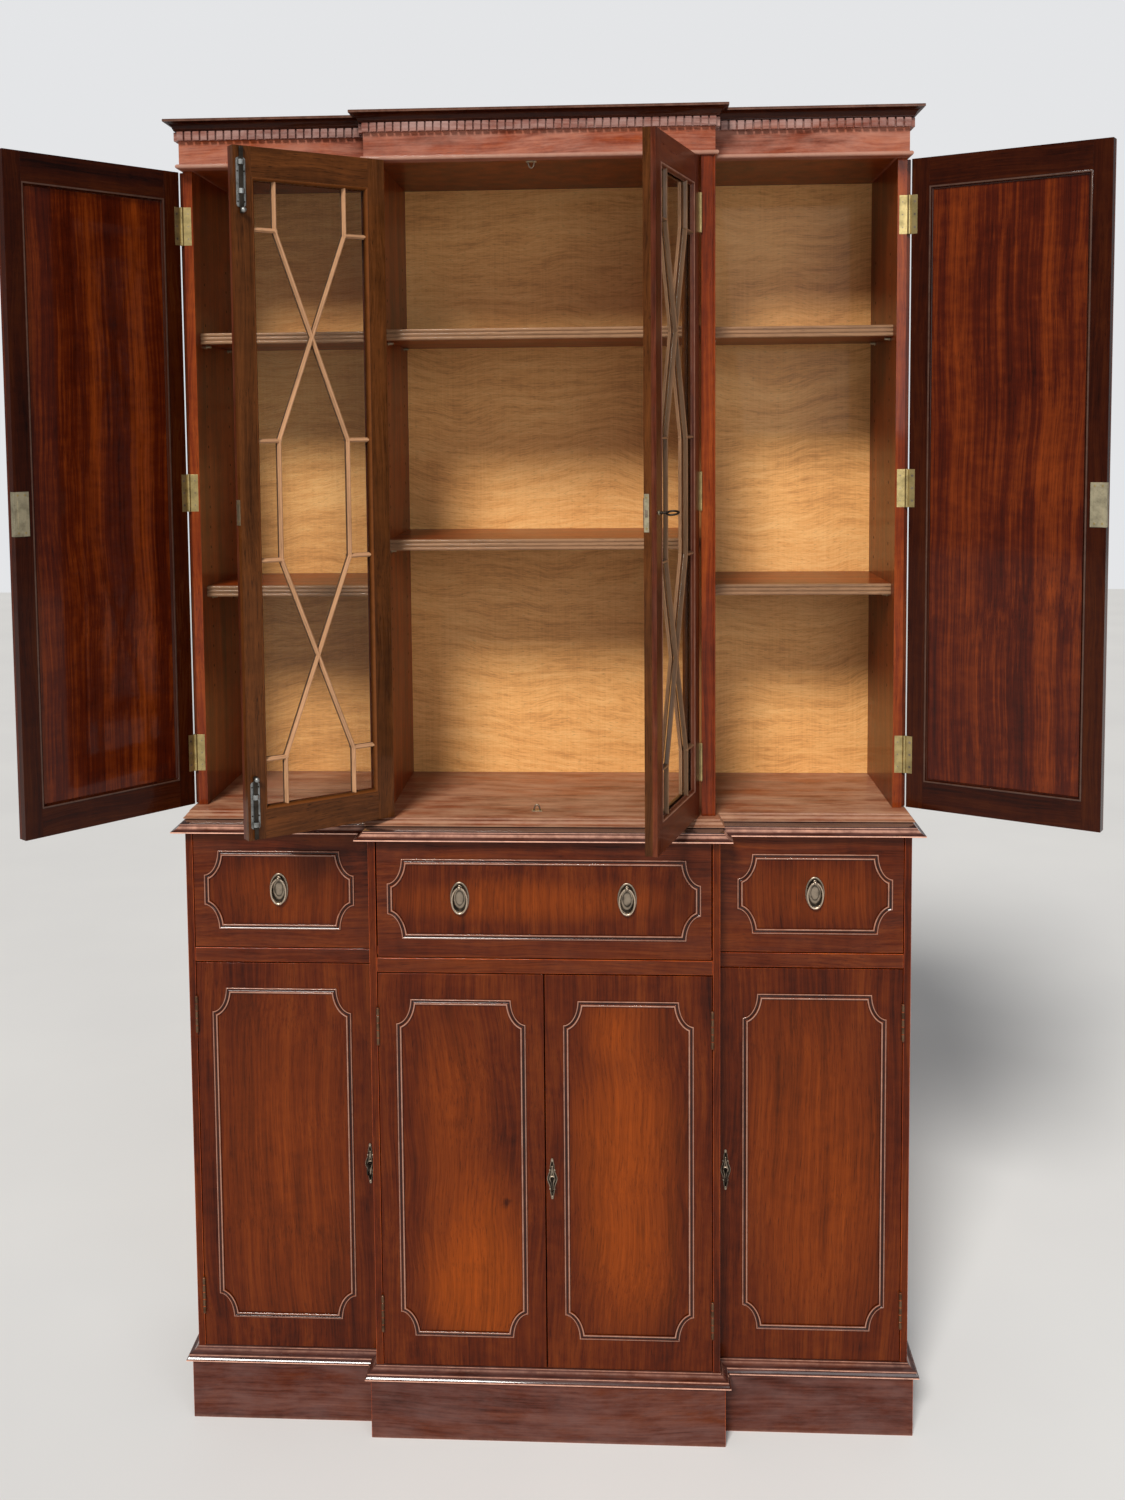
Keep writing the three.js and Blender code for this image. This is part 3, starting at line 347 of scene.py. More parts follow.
def piece(name, parts, body, slot, edge=0.0, hides=(), corner=40, rubbed_and_highlit_edges=None):
    """One object from solids and the names of their finishes. The grain coordinates and the
    wear go into attributes, edges sharper than corner degrees are eased by edge, and
    the rest is smooth. The eased edges take a much lighter finish of their own where one is given,
    rubbed polish with a painted highlight."""
    faces, look_of, used = [], [], []
    count = 0
    for solid, look in parts:
        if look not in used:
            used.append(look)
        faces += [tuple(corner_at + count for corner_at in face) for face in solid.faces]
        look_of += [used.index(look)] * len(solid.faces)
        count += len(solid.points)
    points = np.vstack([solid.points for solid, _ in parts])
    grain = np.vstack([solid.grain for solid, _ in parts])
    wear = np.concatenate([solid.wear for solid, _ in parts])
    mesh = bpy.data.meshes.new(name)
    mesh.from_pydata(points, [], faces)
    mesh.attributes.new("grain", "FLOAT_VECTOR", "POINT").data.foreach_set("vector", grain.ravel())
    mesh.attributes.new("wear", "FLOAT", "POINT").data.foreach_set("value", wear)
    mesh.polygons.foreach_set("material_index", look_of)
    for look in used:
        mesh.materials.append(finish(look))
    mesh.shade_smooth()
    mesh.set_sharp_from_angle(angle=radians(corner))
    mesh.update()
    made = placed(name, mesh)
    if edge:
        ease = made.modifiers.new("eased edges", "BEVEL")
        ease.width = edge
        ease.segments = 2
        ease.limit_method = "ANGLE"
        ease.angle_limit = radians(corner)
        ease.harden_normals = True
        if rubbed_and_highlit_edges:
            mesh.materials.append(finish(rubbed_and_highlit_edges))
            ease.material = len(mesh.materials) - 1
    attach(made, body)
    if hides:
        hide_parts(*hides)


def joinery(name, parts, body, node):
    """A polished piece whose edges are softened, rubbed paler and lightened with a painted highlight."""
    piece(name, parts, body, "polished", sizes().soft_edge, [node], rubbed_and_highlit_edges="worn_edge")


def finish_nodes(look, *nodes):
    """Gives nodes of the frame that stay as they are a finish that reads object coordinates."""
    for node in nodes:
        mesh = frame["nodes"][node].data
        mesh.materials.clear()
        mesh.materials.append(finish(look))


# Shading

def arithmetic(operation, reflected=False):
    """An operator of Tone that adds one Math node."""
    def operator(self, other):
        values = (other, self) if reflected else (self, other)
        return self.paint.node("ShaderNodeMath", {"operation": operation}, dict(enumerate(values)))
    return operator


class Tone:
    """A value or colour on its way through a material. Arithmetic on it adds Math nodes."""

    __add__ = arithmetic("ADD")
    __radd__ = arithmetic("ADD", True)
    __sub__ = arithmetic("SUBTRACT")
    __rsub__ = arithmetic("SUBTRACT", True)
    __mul__ = arithmetic("MULTIPLY")
    __rmul__ = arithmetic("MULTIPLY", True)
    __truediv__ = arithmetic("DIVIDE")
    __pow__ = arithmetic("POWER")

    def __init__(self, paint, socket):
        self.paint = paint
        self.socket = socket

    def held(self, low, high):
        """0 below low, 1 above high, smooth between."""
        settings = {"interpolation_type": "SMOOTHSTEP"}
        return self.paint.node("ShaderNodeMapRange", settings, {0: self, 1: low, 2: high})


class Paint:
    """One material and its nodes."""

    def __init__(self, name):
        self.material = bpy.data.materials.new(name)
        self.material.use_nodes = True
        self.nodes = self.material.node_tree.nodes
        self.links = self.material.node_tree.links
        self.nodes.clear()

    def node(self, kind, settings=None, inputs=None, output=0):
        """Adds a node: settings first, a ramp's stops under the name stops, then values or links."""
        made = self.nodes.new(kind)
        for name, setting in (settings or {}).items():
            if name == "stops":
                self.set_stops(made.color_ramp.elements, setting)
            else:
                setattr(made, name, setting)
        for name, given in (inputs or {}).items():
            if isinstance(given, Tone):
                self.links.new(given.socket, made.inputs[name])
            else:
                made.inputs[name].default_value = given
        return Tone(self, made.outputs[output])

    def set_stops(self, elements, stops):
        while len(elements) < len(stops):
            elements.new(1.0)
        for element, (place, colour) in zip(elements, stops):
            element.position = place
            element.color = (*colour, 1.0)

    def attribute(self, name, output="Vector"):
        return self.node("ShaderNodeAttribute", {"attribute_name": name}, output=output)

    def place(self):
        """Object coordinates, for the frame's own nodes."""
        return self.node("ShaderNodeTexCoord", output="Object")

    def vector(self, operation, *values):
        return self.node("ShaderNodeVectorMath", {"operation": operation}, dict(enumerate(values)))

    def noise(self, place, scale, detail=3.0, roughness=0.5, output="Fac"):
        inputs = {"Vector": place, "Scale": scale, "Detail": detail, "Roughness": roughness}
        return self.node("ShaderNodeTexNoise", inputs=inputs, output=output)

    def drawn(self, place, scales, detail, roughness):
        """Noise with a scale of its own along each coordinate."""
        return self.noise(self.vector("MULTIPLY", place, scales), 1.0, detail, roughness)

    def bent(self, place, detail, reach):
        """Coordinates bent by a slow noise."""
        slow = self.noise(place, 2.6, detail, output="Color")
        return self.vector("MULTIPLY_ADD", slow, reach, place)

    def ramp(self, value, *stops):
        return self.node("ShaderNodeValToRGB", {"stops": stops}, {0: value})

    def blend(self, share, low, high):
        """A colour between two colours."""
        colours = {
            at: colour if isinstance(colour, Tone) else (*colour, 1.0) for at, colour in ((6, low), (7, high))
        }
        return self.node("ShaderNodeMix", {"data_type": "RGBA"}, {0: share, **colours}, output=2)

    def bump(self, height, strength, depth):
        inputs = {"Height": height, "Strength": strength, "Distance": depth}
        return self.node("ShaderNodeBump", inputs=inputs)

    def finish(self, **sockets):
        """Ends the material in one shader, with its sockets named in words."""
        inputs = {
            name.replace("_", " ").title().replace("Ior", "IOR"): given for name, given in sockets.items()
        }
        shader = self.node("ShaderNodeBsdfPrincipled", inputs=inputs)
        self.links.new(shader.socket, self.nodes.new("ShaderNodeOutputMaterial").inputs["Surface"])
        return self.material


def shade(colour, factor):
    """A colour made darker or lighter by a factor."""
    return tuple(channel * factor for channel in colour)


class Patch:
    """A spot in a veneer: an oval in x and z, with how strongly it shows."""

    def __init__(self, x, z, half_width, half_height, strength):
        self.x, self.z = x, z
        self.half_width, self.half_height = half_width, half_height
        self.strength = strength

    def away(self, place):
        """((x - x0) / a)^2 + ((z - z0) / b)^2 at a place, which is 1 on the oval."""
        paint = place.paint
        x, z = (paint.node("ShaderNodeSeparateXYZ", inputs={0: place}, output=at) for at in (0, 2))
        return ((x - self.x) / self.half_width) ** 2.0 + ((z - self.z) / self.half_height) ** 2.0


def wood(name, dark, mid, light, grain="grain", figure=1.0, stretch=1.0, polish=0.28, coat=0.1,
         flames=(), knots=(), glow=None, pores=0.5, worn=None, haze=0.0, dust=None):
    """Timber under polish. The grain runs with the third coordinate. Broad bands, fine streaks and
    short dark pores are noises drawn out along it, after the coordinates are bent by a slow noise.
    The base colour runs dark, mid, light over bands and streaks together, and in a flame the same
    figure runs through warmer colours. Where wear is positive it lightens crests,
    as rubbed polish and painted highlight; where it is negative it darkens the hollows with painted
    shade; and haze dulls the polish in drawn-out smears of dust."""
    paint = Paint(name)
    place = paint.attribute("grain") if grain == "grain" else paint.place()
    if grain == "x":
        place = paint.node("ShaderNodeMapping", inputs={"Vector": place, "Rotation": (0, pi / 2, 0)})
    bent = paint.bent(place, 2.0, (0.05 * figure, 0.05 * figure, 0.02))
    broad = paint.drawn(bent, (30, 30, 1.9 * stretch), 3.0, 0.55)
    streak = paint.drawn(bent, (240, 240, 4.5 * stretch), 4.0, 0.65)
    fibre = paint.drawn(bent, (1100, 1100, 30), 2.0, 0.5)
    mottle = paint.drawn(bent, (34, 34, 60), 3.0, 0.6)
    cloud = paint.noise(place, 5.5)
    mixed = broad * 0.38 + streak * 0.34 + cloud * 0.16 + mottle * 0.12
    colour = paint.ramp(mixed, (0.36, dark), (0.49, mid), (0.64, light))
    if flames:
        warm = paint.ramp(mixed, (0.34, shade(glow, 0.42)), (0.49, glow), (0.66, shade(glow, 1.7)))
    for flame in flames:
        ragged = flame.away(place) + (broad - 0.5) * 1.6 + (cloud - 0.5) * 2.0 + (mottle - 0.5) * 0.7
        colour = paint.blend((1.0 - ragged.held(-0.2, 1.5)) * flame.strength, colour, warm)
    for knot in knots:
        eye = knot.away(place) ** 0.5 + (mottle - 0.5) * 2.2 + (streak - 0.5) * 1.2
        colour = paint.blend((1.0 - eye.held(0.1, 0.8)) * knot.strength, colour, shade(dark, 0.8))
    colour = paint.blend(fibre.held(0.58, 0.7) * pores, colour, shade(dark, 0.4))
    wear = paint.attribute("wear", "Fac")
    # Rubbed polish and painted highlight: crests blend towards the worn colour
    rubbed = wear * (paint.noise(place, 60.0, 4.0, 0.7) + 0.45)
    colour = paint.blend(rubbed.held(0.15, 1.0), colour, worn)
    # Painted shade: hollows blend towards a near-black share of the dark figure
    colour = paint.blend((wear * -1.0).held(0.0, 1.0) * 0.85, colour, shade(dark, 0.3))
    roughness = polish + (cloud - 0.5) * 0.16 + (streak - 0.5) * 0.12 + wear * 0.06
    if haze:
        smoke = paint.drawn(bent, (30, 30, 9), 5.0, 0.7)
        dull = (smoke * 0.7 + streak * 0.3).held(0.3, 0.7) * haze
        colour = paint.blend(dull, colour, dust or shade(worn, 0.7))
        roughness = roughness + dull * 0.4
    height = fibre * 0.25 + streak * 0.5 + cloud * 1.5
    return paint.finish(
        base_color=colour, roughness=roughness, normal=paint.bump(height, 0.18, 0.0006),
        coat_weight=coat, coat_roughness=0.06, specular_ior_level=0.09,
    )


def plywood(name):
    """A rotary cut board with its grain level: long low streaks, finer ones inside them, short dark
    dashes, faint upright tool marks and slow clouds, in object coordinates."""
    paint = Paint(name)
    place = paint.place()
    bent = paint.bent(place, 2.5, (0.0, 0.0, 0.16))
    streak = paint.drawn(bent, (45, 45, 520), 3.0, 0.6)
    dash = paint.drawn(bent, (95, 95, 1300), 1.0, 0.5).held(0.6, 0.7)
    cloud = paint.noise(place, 4.0)
    mixed = paint.drawn(bent, (9, 9, 85), 4.0, 0.6) * 0.36 + streak * 0.34
    mixed = mixed + cloud * 0.2 + paint.drawn(place, (420, 60, 7), 2.0, 0.5) * 0.1
    dark = tone("back_dark")
    colour = paint.ramp(mixed, (0.34, dark), (0.48, tone("back_mid")), (0.60, tone("back_light")))
    return paint.finish(
        base_color=paint.blend(dash * 0.45, colour, shade(dark, 0.45)), coat_weight=0.08,
        roughness=(cloud - 0.5) * 0.2 + streak * 0.1 + 0.45, specular_ior_level=0.2,
        normal=paint.bump(streak * 0.6 + dash * -0.5, 0.2, 0.0005),
    )


def metal(name, bright, bright_share, tarnish, tarnish_share, polish):
    """Metal with darker tarnish in clouds, small spots, and brushing that changes its gloss. Positive
    wear keeps crests bright and negative wear leaves hollows nearly black."""
    tarnish = tone(tarnish, tarnish_share)
    paint = Paint(name)
    place = paint.place()
    cloud = paint.noise(place, 70.0, 4.0, 0.6)
    spot = paint.noise(place, 420.0, 3.0, 0.6).held(0.58, 0.74)
    brushed = paint.drawn(place, (900, 900, 90), 3.0, 0.6)
    wear = paint.attribute("wear", "Fac")
    aged = (cloud.held(0.35, 0.7) * 0.7 + spot * 0.5) * (1.0 - wear * 0.8)
    colour = paint.blend(aged, tone(bright, bright_share), tarnish)
    colour = paint.blend((wear * -1.0).held(0.0, 1.0) * 0.85, colour, shade(tarnish, 0.35))
    return paint.finish(
        base_color=colour, metallic=1.0,
        roughness=polish + cloud * 0.2 + spot * 0.15 + (brushed - 0.5) * 0.12,
        normal=paint.bump(brushed * 0.4 + spot * 0.6, 0.15, 0.0002),
    )


# Settings

def number(name, description, default, unit="NONE"):
    return bpy.props.FloatProperty(name=name, description=description, default=default, unit=unit)


def length(name, description, millimetres):
    return number(name, description, millimetres * mm, "LENGTH")


def pigment(name, description, *value):
    return bpy.props.FloatVectorProperty(
        name=name, description=description, subtype="COLOR", size=3, min=0, max=1, default=value)


class BookcaseSizes(bpy.types.PropertyGroup):
    """Sizes of the finer work that the frame leaves plain."""

    soft_edge: length("Softened edge", "How far the polisher has rounded each edge", 0.8)
    moulding_width: length("Moulding width", "Width of the applied moulding on doors and drawers", 9)
    moulding_proud: length("Moulding height", "How far the applied moulding stands off its face", 3.5)
    scoop_width: length("Scoop width", "Width of the quarter oval at each moulding corner", 22)
    scoop_height: length("Scoop height", "Height of the quarter oval at each moulding corner", 38)
    bar_width: length("Glazing bar", "Width of the glazing bars seen from the front", 6.5)
    upper_stile: length("Door stile", "Width of the upper doors' stiles", 27)
    upper_rail: length("Door rail", "Height of the upper doors' rails", 42)
    hinge_length: length("Hinge length", "Length of each butt hinge", 58)
    hinge_end: length("Hinge from end", "From a door's end to its nearest hinge's middle", 82)
    pin_spacing: length("Pin hole spacing", "Height between the holes for the shelf pins", 32)


class BookcaseColours(bpy.types.PropertyGroup):
    """The colours of the timbers and metals, in linear light."""

    outer_dark: pigment("Outer dark", "Dark figure of the polished outside", 0.021, 0.0026, 0.0006)
    outer_mid: pigment("Outer middle", "Body colour of the polished outside", 0.080, 0.0112, 0.0015)
    outer_light: pigment("Outer light", "Light figure of the polished outside", 0.152, 0.0290, 0.0036)
    flame: pigment("Flame", "Warm heart of the figured veneer", 0.235, 0.0420, 0.0022)
    inner_dark: pigment("Inner dark", "Dark figure of the side doors' panels", 0.012, 0.0011, 0.0004)
    inner_mid: pigment("Inner middle", "Body colour of the inner panels", 0.062, 0.0068, 0.0010)
    inner_light: pigment("Inner light", "Light figure of the inner panels", 0.200, 0.0330, 0.0035)
    aged_stile: pigment("Aged stile", "Inner side of the glazed doors", 0.078, 0.0235, 0.0052)
    back_dark: pigment("Back dark", "Dark figure of the back boards", 0.520, 0.235, 0.070)
    back_mid: pigment("Back middle", "Body colour of the back boards", 0.790, 0.395, 0.128)
    back_light: pigment("Back light", "Light figure of the back boards", 0.900, 0.510, 0.190)
    bead: pigment("Bead", "Pale wood of the glazing bars and shelf edges", 0.470, 0.250, 0.130)
    # Colour of rubbed polish on edges and crests, used there also as painted highlight
    worn: pigment("Worn", "Where the polish is rubbed on edges and crests", 0.380, 0.200, 0.140)
    brass: pigment("Brass", "Bright brass of hinges and locks", 0.560, 0.430, 0.190)
    dull_brass: pigment("Dull brass", "Greyed brass of the lock plates", 0.560, 0.490, 0.330)
    old_brass: pigment("Old brass", "Darkened brass of the handles", 0.300, 0.240, 0.180)
    red_brass: pigment("Red brass", "Small hinges under old polish", 0.200, 0.115, 0.065)
    red_tarnish: pigment("Red tarnish", "Polish and dirt on the small hinges", 0.050, 0.022, 0.012)
    bolt_grey: pigment("Bolt grey", "Rubbed metal of the surface bolts", 0.360, 0.370, 0.360)
    bolt_tarnish: pigment("Bolt tarnish", "Dark metal of the surface bolts", 0.100, 0.095, 0.085)
    iron: pigment("Iron", "Dark keys and screws", 0.060, 0.048, 0.038)


def sizes():
    return bpy.context.scene.bookcase_sizes


def tone(name, share=1.0):
    """A share of one of the bookcase's colours."""
    return shade(getattr(bpy.context.scene.bookcase_colours, name), share)


# Finishes, each made once and then shared

def polished_wood(name, deepen=1.0, rubbed=1.0, **changes):
    """The outer wood, darker or lighter as a whole, its rubbed and painted-highlight colour on crests shown
    as a share of the full colour.
    """
    dark, mid, light = (tone(f"outer_{part}", deepen) for part in ("dark", "mid", "light"))
    return wood(name, dark, mid, light, glow=tone("flame"), worn=tone("worn", rubbed), **changes)


def panel_wood(name):
    """The redder panels inside the side doors, with long streaks."""
    dark, mid, light = (tone(f"inner_{part}") for part in ("dark", "mid", "light"))
    return wood(name, dark, mid, light, worn=tone("worn", 0.6), figure=0.7, stretch=0.35, polish=0.22,
                coat=0.25)


def bead_wood(name, deepen=1.0):
    """Pale wood whose hollows have stayed brown."""
    dark, mid, light = (tone("bead", share * deepen) for share in (0.4, 0.7, 0.95))
    return wood(name, dark, mid, light, worn=tone("bead", 1.25), polish=0.35, coat=0.15)


def stile_wood(name, deepen=1.0):
    """The browner inner side of the glazed doors."""
    dark, mid, light = (tone("aged_stile", share * deepen) for share in (0.35, 1.0, 1.9))
    return wood(name, dark, mid, light, worn=tone("aged_stile", 3.2 * deepen), pores=0.8)


def old_glass(name):
    """Clear old glass with a faint green body, and smears that catch the light a little more."""
    paint = Paint(name)
    smear = paint.noise(paint.place(), 7.0, 3.0, 0.6).held(0.5, 0.9)
    return paint.finish(
        base_color=(0.03, 0.045, 0.04, 1.0), roughness=smear * 0.1 + 0.03, alpha=smear * 0.03 + 0.06,
        specular_ior_level=0.8,
    )


def writing_leather(name):
    """Dark green writing leather: small pebbles, rubbed paler where it is used."""
    paint = Paint(name)
    place = paint.place()
    pebble = paint.node("ShaderNodeTexVoronoi", inputs={"Vector": place, "Scale": 700.0})
    rubbed = paint.noise(place, 12.0, 3.0, 0.6)
    green = paint.ramp(rubbed + pebble * 0.15, (0.35, (0.016, 0.032, 0.020)), (0.7, (0.045, 0.075, 0.045)))
    return paint.finish(
        base_color=green, roughness=rubbed * 0.2 + 0.45, normal=paint.bump(pebble, 0.35, 0.0003),
    )


def painted_hole_shadow(name):
    """Painted shadow: the near-black seen down each drilled shelf-pin bore, laid on a thin disc."""
    paint = Paint(name)
    grit = paint.noise(paint.place(), 900.0, 3.0, 0.6)
    colour = paint.ramp(grit, (0.3, (0.004, 0.002, 0.001)), (0.7, (0.014, 0.007, 0.004)))
    return paint.finish(base_color=colour, roughness=0.9)


# Finishes of polished wood, each with what sets it apart
timbers = {
    "polished": dict(haze=0.06),
    "polished_upright": dict(),
    # A much lighter copy of the wood for eased edges: rubbed polish with a painted highlight
    "worn_edge": dict(deepen=3.4, polish=0.24, coat=0.5),
    # The moulding's and the ledge's rubbed shares lighten their crests further: painted highlight on top of
    # rubbed polish
    "moulding": dict(rubbed=1.15, polish=0.24, coat=0.45),
    "ledge": dict(deepen=0.7, rubbed=2.6, haze=0.3, dust=(0.22, 0.13, 0.12), coat=0.8, polish=0.16),
    "sill": dict(deepen=2.2, haze=0.9, dust=(0.47, 0.26, 0.155), polish=0.3, coat=0.3),
    "cornice": dict(deepen=2.6, haze=0.65, dust=(0.46, 0.23, 0.17), polish=0.4),
    "cornice_teeth": dict(deepen=2.0, grain="x", haze=0.9, dust=(0.42, 0.28, 0.25), polish=0.4),
    "crown": dict(deepen=0.38, polish=0.3),
    "plinth": dict(deepen=0.85, haze=0.55, dust=(0.17, 0.092, 0.082), polish=0.36),
    "field_left": dict(flames=[Patch(-0.40, 0.40, 0.12, 0.30, 0.3)]),
    "field_centre_left": dict(
        figure=1.6, knots=[Patch(-0.060, 0.378, 0.014, 0.0112, 0.75)],
        flames=[Patch(-0.105, 0.27, 0.085, 0.17, 1.0), Patch(-0.14, 0.52, 0.06, 0.16, 0.35)]),
    "field_centre_right": dict(
        figure=1.3, flames=[Patch(0.12, 0.44, 0.08, 0.32, 0.75), Patch(0.10, 0.64, 0.04, 0.05, 0.4)]),
    "field_right": dict(flames=[Patch(0.41, 0.42, 0.12, 0.30, 0.4)]),
    "field_drawer": dict(flames=[
        Patch(-0.02, 0.85, 0.20, 0.035, 0.5), Patch(0.41, 0.85, 0.10, 0.05, 0.35),
        Patch(-0.41, 0.85, 0.10, 0.05, 0.3)]),
    "lining": dict(deepen=2.4, polish=0.55, coat=0.05),
    "lining_plain": dict(deepen=2.2, grain="x", polish=0.5, coat=0.1),
    "door_frame": dict(deepen=0.36, polish=0.26),
    "dark_bead": dict(deepen=0.3, rubbed=0.25, polish=0.25, coat=0.3),
    "glazed_outside": dict(haze=0.15),
    "bay_board": dict(deepen=2.3, polish=0.4, coat=0.25),
    "bay_board_plain": dict(deepen=2.0, grain="object", polish=0.4, coat=0.25),
}
# Finishes of metal: the bright tone and the tarnish, each with its share, and the polish
metals = {
    "hinge_brass": ("brass", 1, "brass", 0.45, 0.3),
    "hinge_brass_old": ("red_brass", 1, "red_tarnish", 1, 0.42),
    "lock_brass": ("dull_brass", 1, "dull_brass", 0.4, 0.36),
    "handle_brass": ("old_brass", 1.2, "old_brass", 0.2, 0.26),
    "bail_brass": ("old_brass", 2.1, "old_brass", 0.7, 0.22),
    "bronze": ("old_brass", 1.3, "iron", 0.4, 0.34),
    "bolt_bronze": ("bolt_grey", 1, "bolt_tarnish", 1, 0.36),
    "iron": ("iron", 1, "iron", 0.35, 0.42),
}
other_finishes = {
    "door_panel": panel_wood,
    "golden_stile": stile_wood,
    "sight_bead": partial(stile_wood, deepen=0.6),
    "outer_bar": partial(bead_wood, deepen=0.42),
    "glazing_bead": partial(bead_wood, deepen=1.3),
    "shelf_edge": partial(bead_wood, deepen=0.8),
    "back_board_plain": plywood,
    "leather": writing_leather,
    "glass": old_glass,
    "hole": painted_hole_shadow,
}


def finish(look):
    """The named finish, made on first use and kept apart from the frame's plain materials."""
    kept = f"finish_{look}"
    if kept in bpy.data.materials:
        return bpy.data.materials[kept]
    if look in timbers:
        return polished_wood(kept, **timbers[look])
    if look in metals:
        return metal(kept, *metals[look])
    return other_finishes[look](kept)


# Cabinet work

# Moulded edges: share of the height, share of the way out to the lip, and wear with painted
# light: positive is rubbed polish with painted highlight on crests, negative is painted shade in
# hollows, creases and undersides
cap_shares = [
    (0.0, 0.93, -0.4), (0.03, 1.0, 0.9), (0.13, 1.0, 0.5), (0.17, 0.9, -0.9), (0.30, 0.78, -0.6),
    (0.42, 0.72, 0.1), (0.47, 0.78, 0.7), (0.56, 0.74, 0.3), (0.60, 0.6, -0.8), (0.68, 0.38, 0.2),
    (0.80, 0.2, 0.4), (0.91, 0.08, 0.1), (0.94, 0.0, 0.6), (1.0, 0.0, 0.2),
]
waist_shares = [
    (0.0, 0.95, -0.2), (0.04, 1.0, 1.0), (0.16, 1.0, 0.7), (0.2, 0.9, -0.9), (0.30, 0.66, 0.0),
    (0.45, 0.44, 0.5), (0.62, 0.27, 0.6), (0.76, 0.15, 0.2), (0.79, 0.12, -0.7), (0.82, 0.1, 0.8),
    (0.9, 0.1, 0.5), (0.92, 0.0, -0.9), (1.0, 0.0, -0.9),
]
sill_shares = [
    (0.0, 0.9, -0.8), (0.06, 1.0, 0.7), (0.22, 1.0, 0.5), (0.26, 0.86, -0.7), (0.34, 0.72, 0.4),
    (0.48, 0.62, 0.9), (0.62, 0.48, 0.7), (0.70, 0.30, 0.0), (0.74, 0.18, -0.9), (0.78, 0.18, 0.8),
    (0.96, 0.14, 0.5), (1.0, 0.06, 0.0),
]
crown_shares = [
    (0.0, 0.0, 0.0), (0.1, 0.0, 0.2), (0.14, 0.08, 0.3), (0.26, 0.11, 0.0), (0.40, 0.2, 0.0),
    (0.54, 0.36, 0.0), (0.66, 0.6, 0.0), (0.74, 0.86, 0.2), (0.77, 1.0, 0.5), (0.97, 1.0, 0.4),
    (1.0, 0.97, 0.2),
]
# The applied moulding: share across from its outer line, share of its height, and wear with
# painted light: painted highlight on the crests, painted shade in the hollow and where it meets the face
moulding_shares = [
    (0.0, -0.3, -1), (0.0, 0.35, 0.0), (0.05, 0.55, 0.6), (0.13, 0.68, 0.9), (0.22, 0.6, 0.3),
    (0.30, 0.36, -0.7), (0.42, 0.26, -1.0), (0.54, 0.36, -0.7), (0.62, 0.62, 0.1), (0.70, 0.88, 0.7),
    (0.79, 1.0, 0.9), (0.88, 0.92, 0.6), (0.95, 0.62, 0.0), (1.0, 0.2, -0.8), (1.0, -0.3, -1),
]


def build_plinth():
    """A mitred rim with a softened top edge, a back board and a bearer under the middle."""
    proud = -plinth_box.left - base_half
    thick, clear = 20 * mm, 0.3 * mm
    top, inner = plinth_box.top, proud - thick
    rim = band(base_plan, [
        (inner, 0, 0), (proud, 0, 0.5), (proud, 6 * mm, 0.2), (proud, top, 0), (inner, top, 0),
    ])
    inside = base_half + inner - clear
    back = board(-inside, inside, back_plane - thick, back_plane, 0, top)
    bearer = board(-10 * mm, 10 * mm, base_centre_front, back_plane - thick - clear, 0, top)
    parts = [(rim.along("x"), "plinth"), (back.along("x", 0.4), "plinth"), (bearer.along("y"), "plinth")]
    joinery("plinth_frame", parts, "carcass", "plinth")


def build_ledges():
    """Boards moulded all round: how far each moulding's top edge stands out is in millimetres, at
    the sides and at the front."""
    for name, node, plan, shares, top, shift, look, slot in (
        ("plinth_cap", "base_floor", base_plan, cap_shares, (1, 1), 0.2, "ledge", "polished"),
        ("waist_ledge", "base_top", base_plan, waist_shares, (5, 5), 0.6, "ledge", "polished"),
        ("bookcase_sill", "bookcase_floor", upper_plan, sill_shares, (5, 14), 0.9, "sill", "panel"),
    ):
        box = Box(node)
        lip = (-box.left - plan[0], plan[3] - box.front)
        ledge = moulded_board(plan, box, shares, lip, [out * mm for out in top])
        piece(name, [(ledge.along("x", shift), look)], "carcass", slot, 0, [node], 25)


def build_cornice():
    """The frieze with a small round bead at its foot, and the crown moulding above the teeth."""
    thick, bead, foot = 18 * mm, 7 * mm, 6 * mm
    low, high = frieze_box.bottom, frieze_box.top
    proud = -frieze_box.left - upper_half - bead / 2
    rows = [(-thick, low, 0), (proud, low, 0.2)]
    # The foot bead: lightened most along its front crest, rubbed polish with a painted highlight
    rows += [
        (proud + bead / 2 * cos(t), low + bead / 2 * (1 + sin(t)), 0.4 + 0.5 * cos(t))
        for t in np.linspace(-pi / 2, pi / 2, 9)[1:-1]
    ]
    rows += [(0.3 * mm, low + bead, 0), (0, low + bead + 1 * mm, 0), (0, high, 0), (-thick, high, 0)]
    frieze = band(upper_plan, rows).along("x")
    piece("frieze_band", [(frieze, "cornice")], "carcass", "polished", 0, ["frieze"], 30)
    low, high = crown_box.bottom, crown_box.top
    lip = -crown_box.left - upper_half
    rows = [(foot + (lip - foot) * out, low + (high - low) * rise, worn) for rise, out, worn in crown_shares]
    crown = band(upper_plan, [(-thick, low, 0), *rows, (-thick, high, 0)]).along("x", 0.3)
    piece("crown_moulding", [(crown, "crown")], "carcass", "polished", 0, ["crown"], 30)
    finish_nodes("cornice_teeth", "dentil_course")


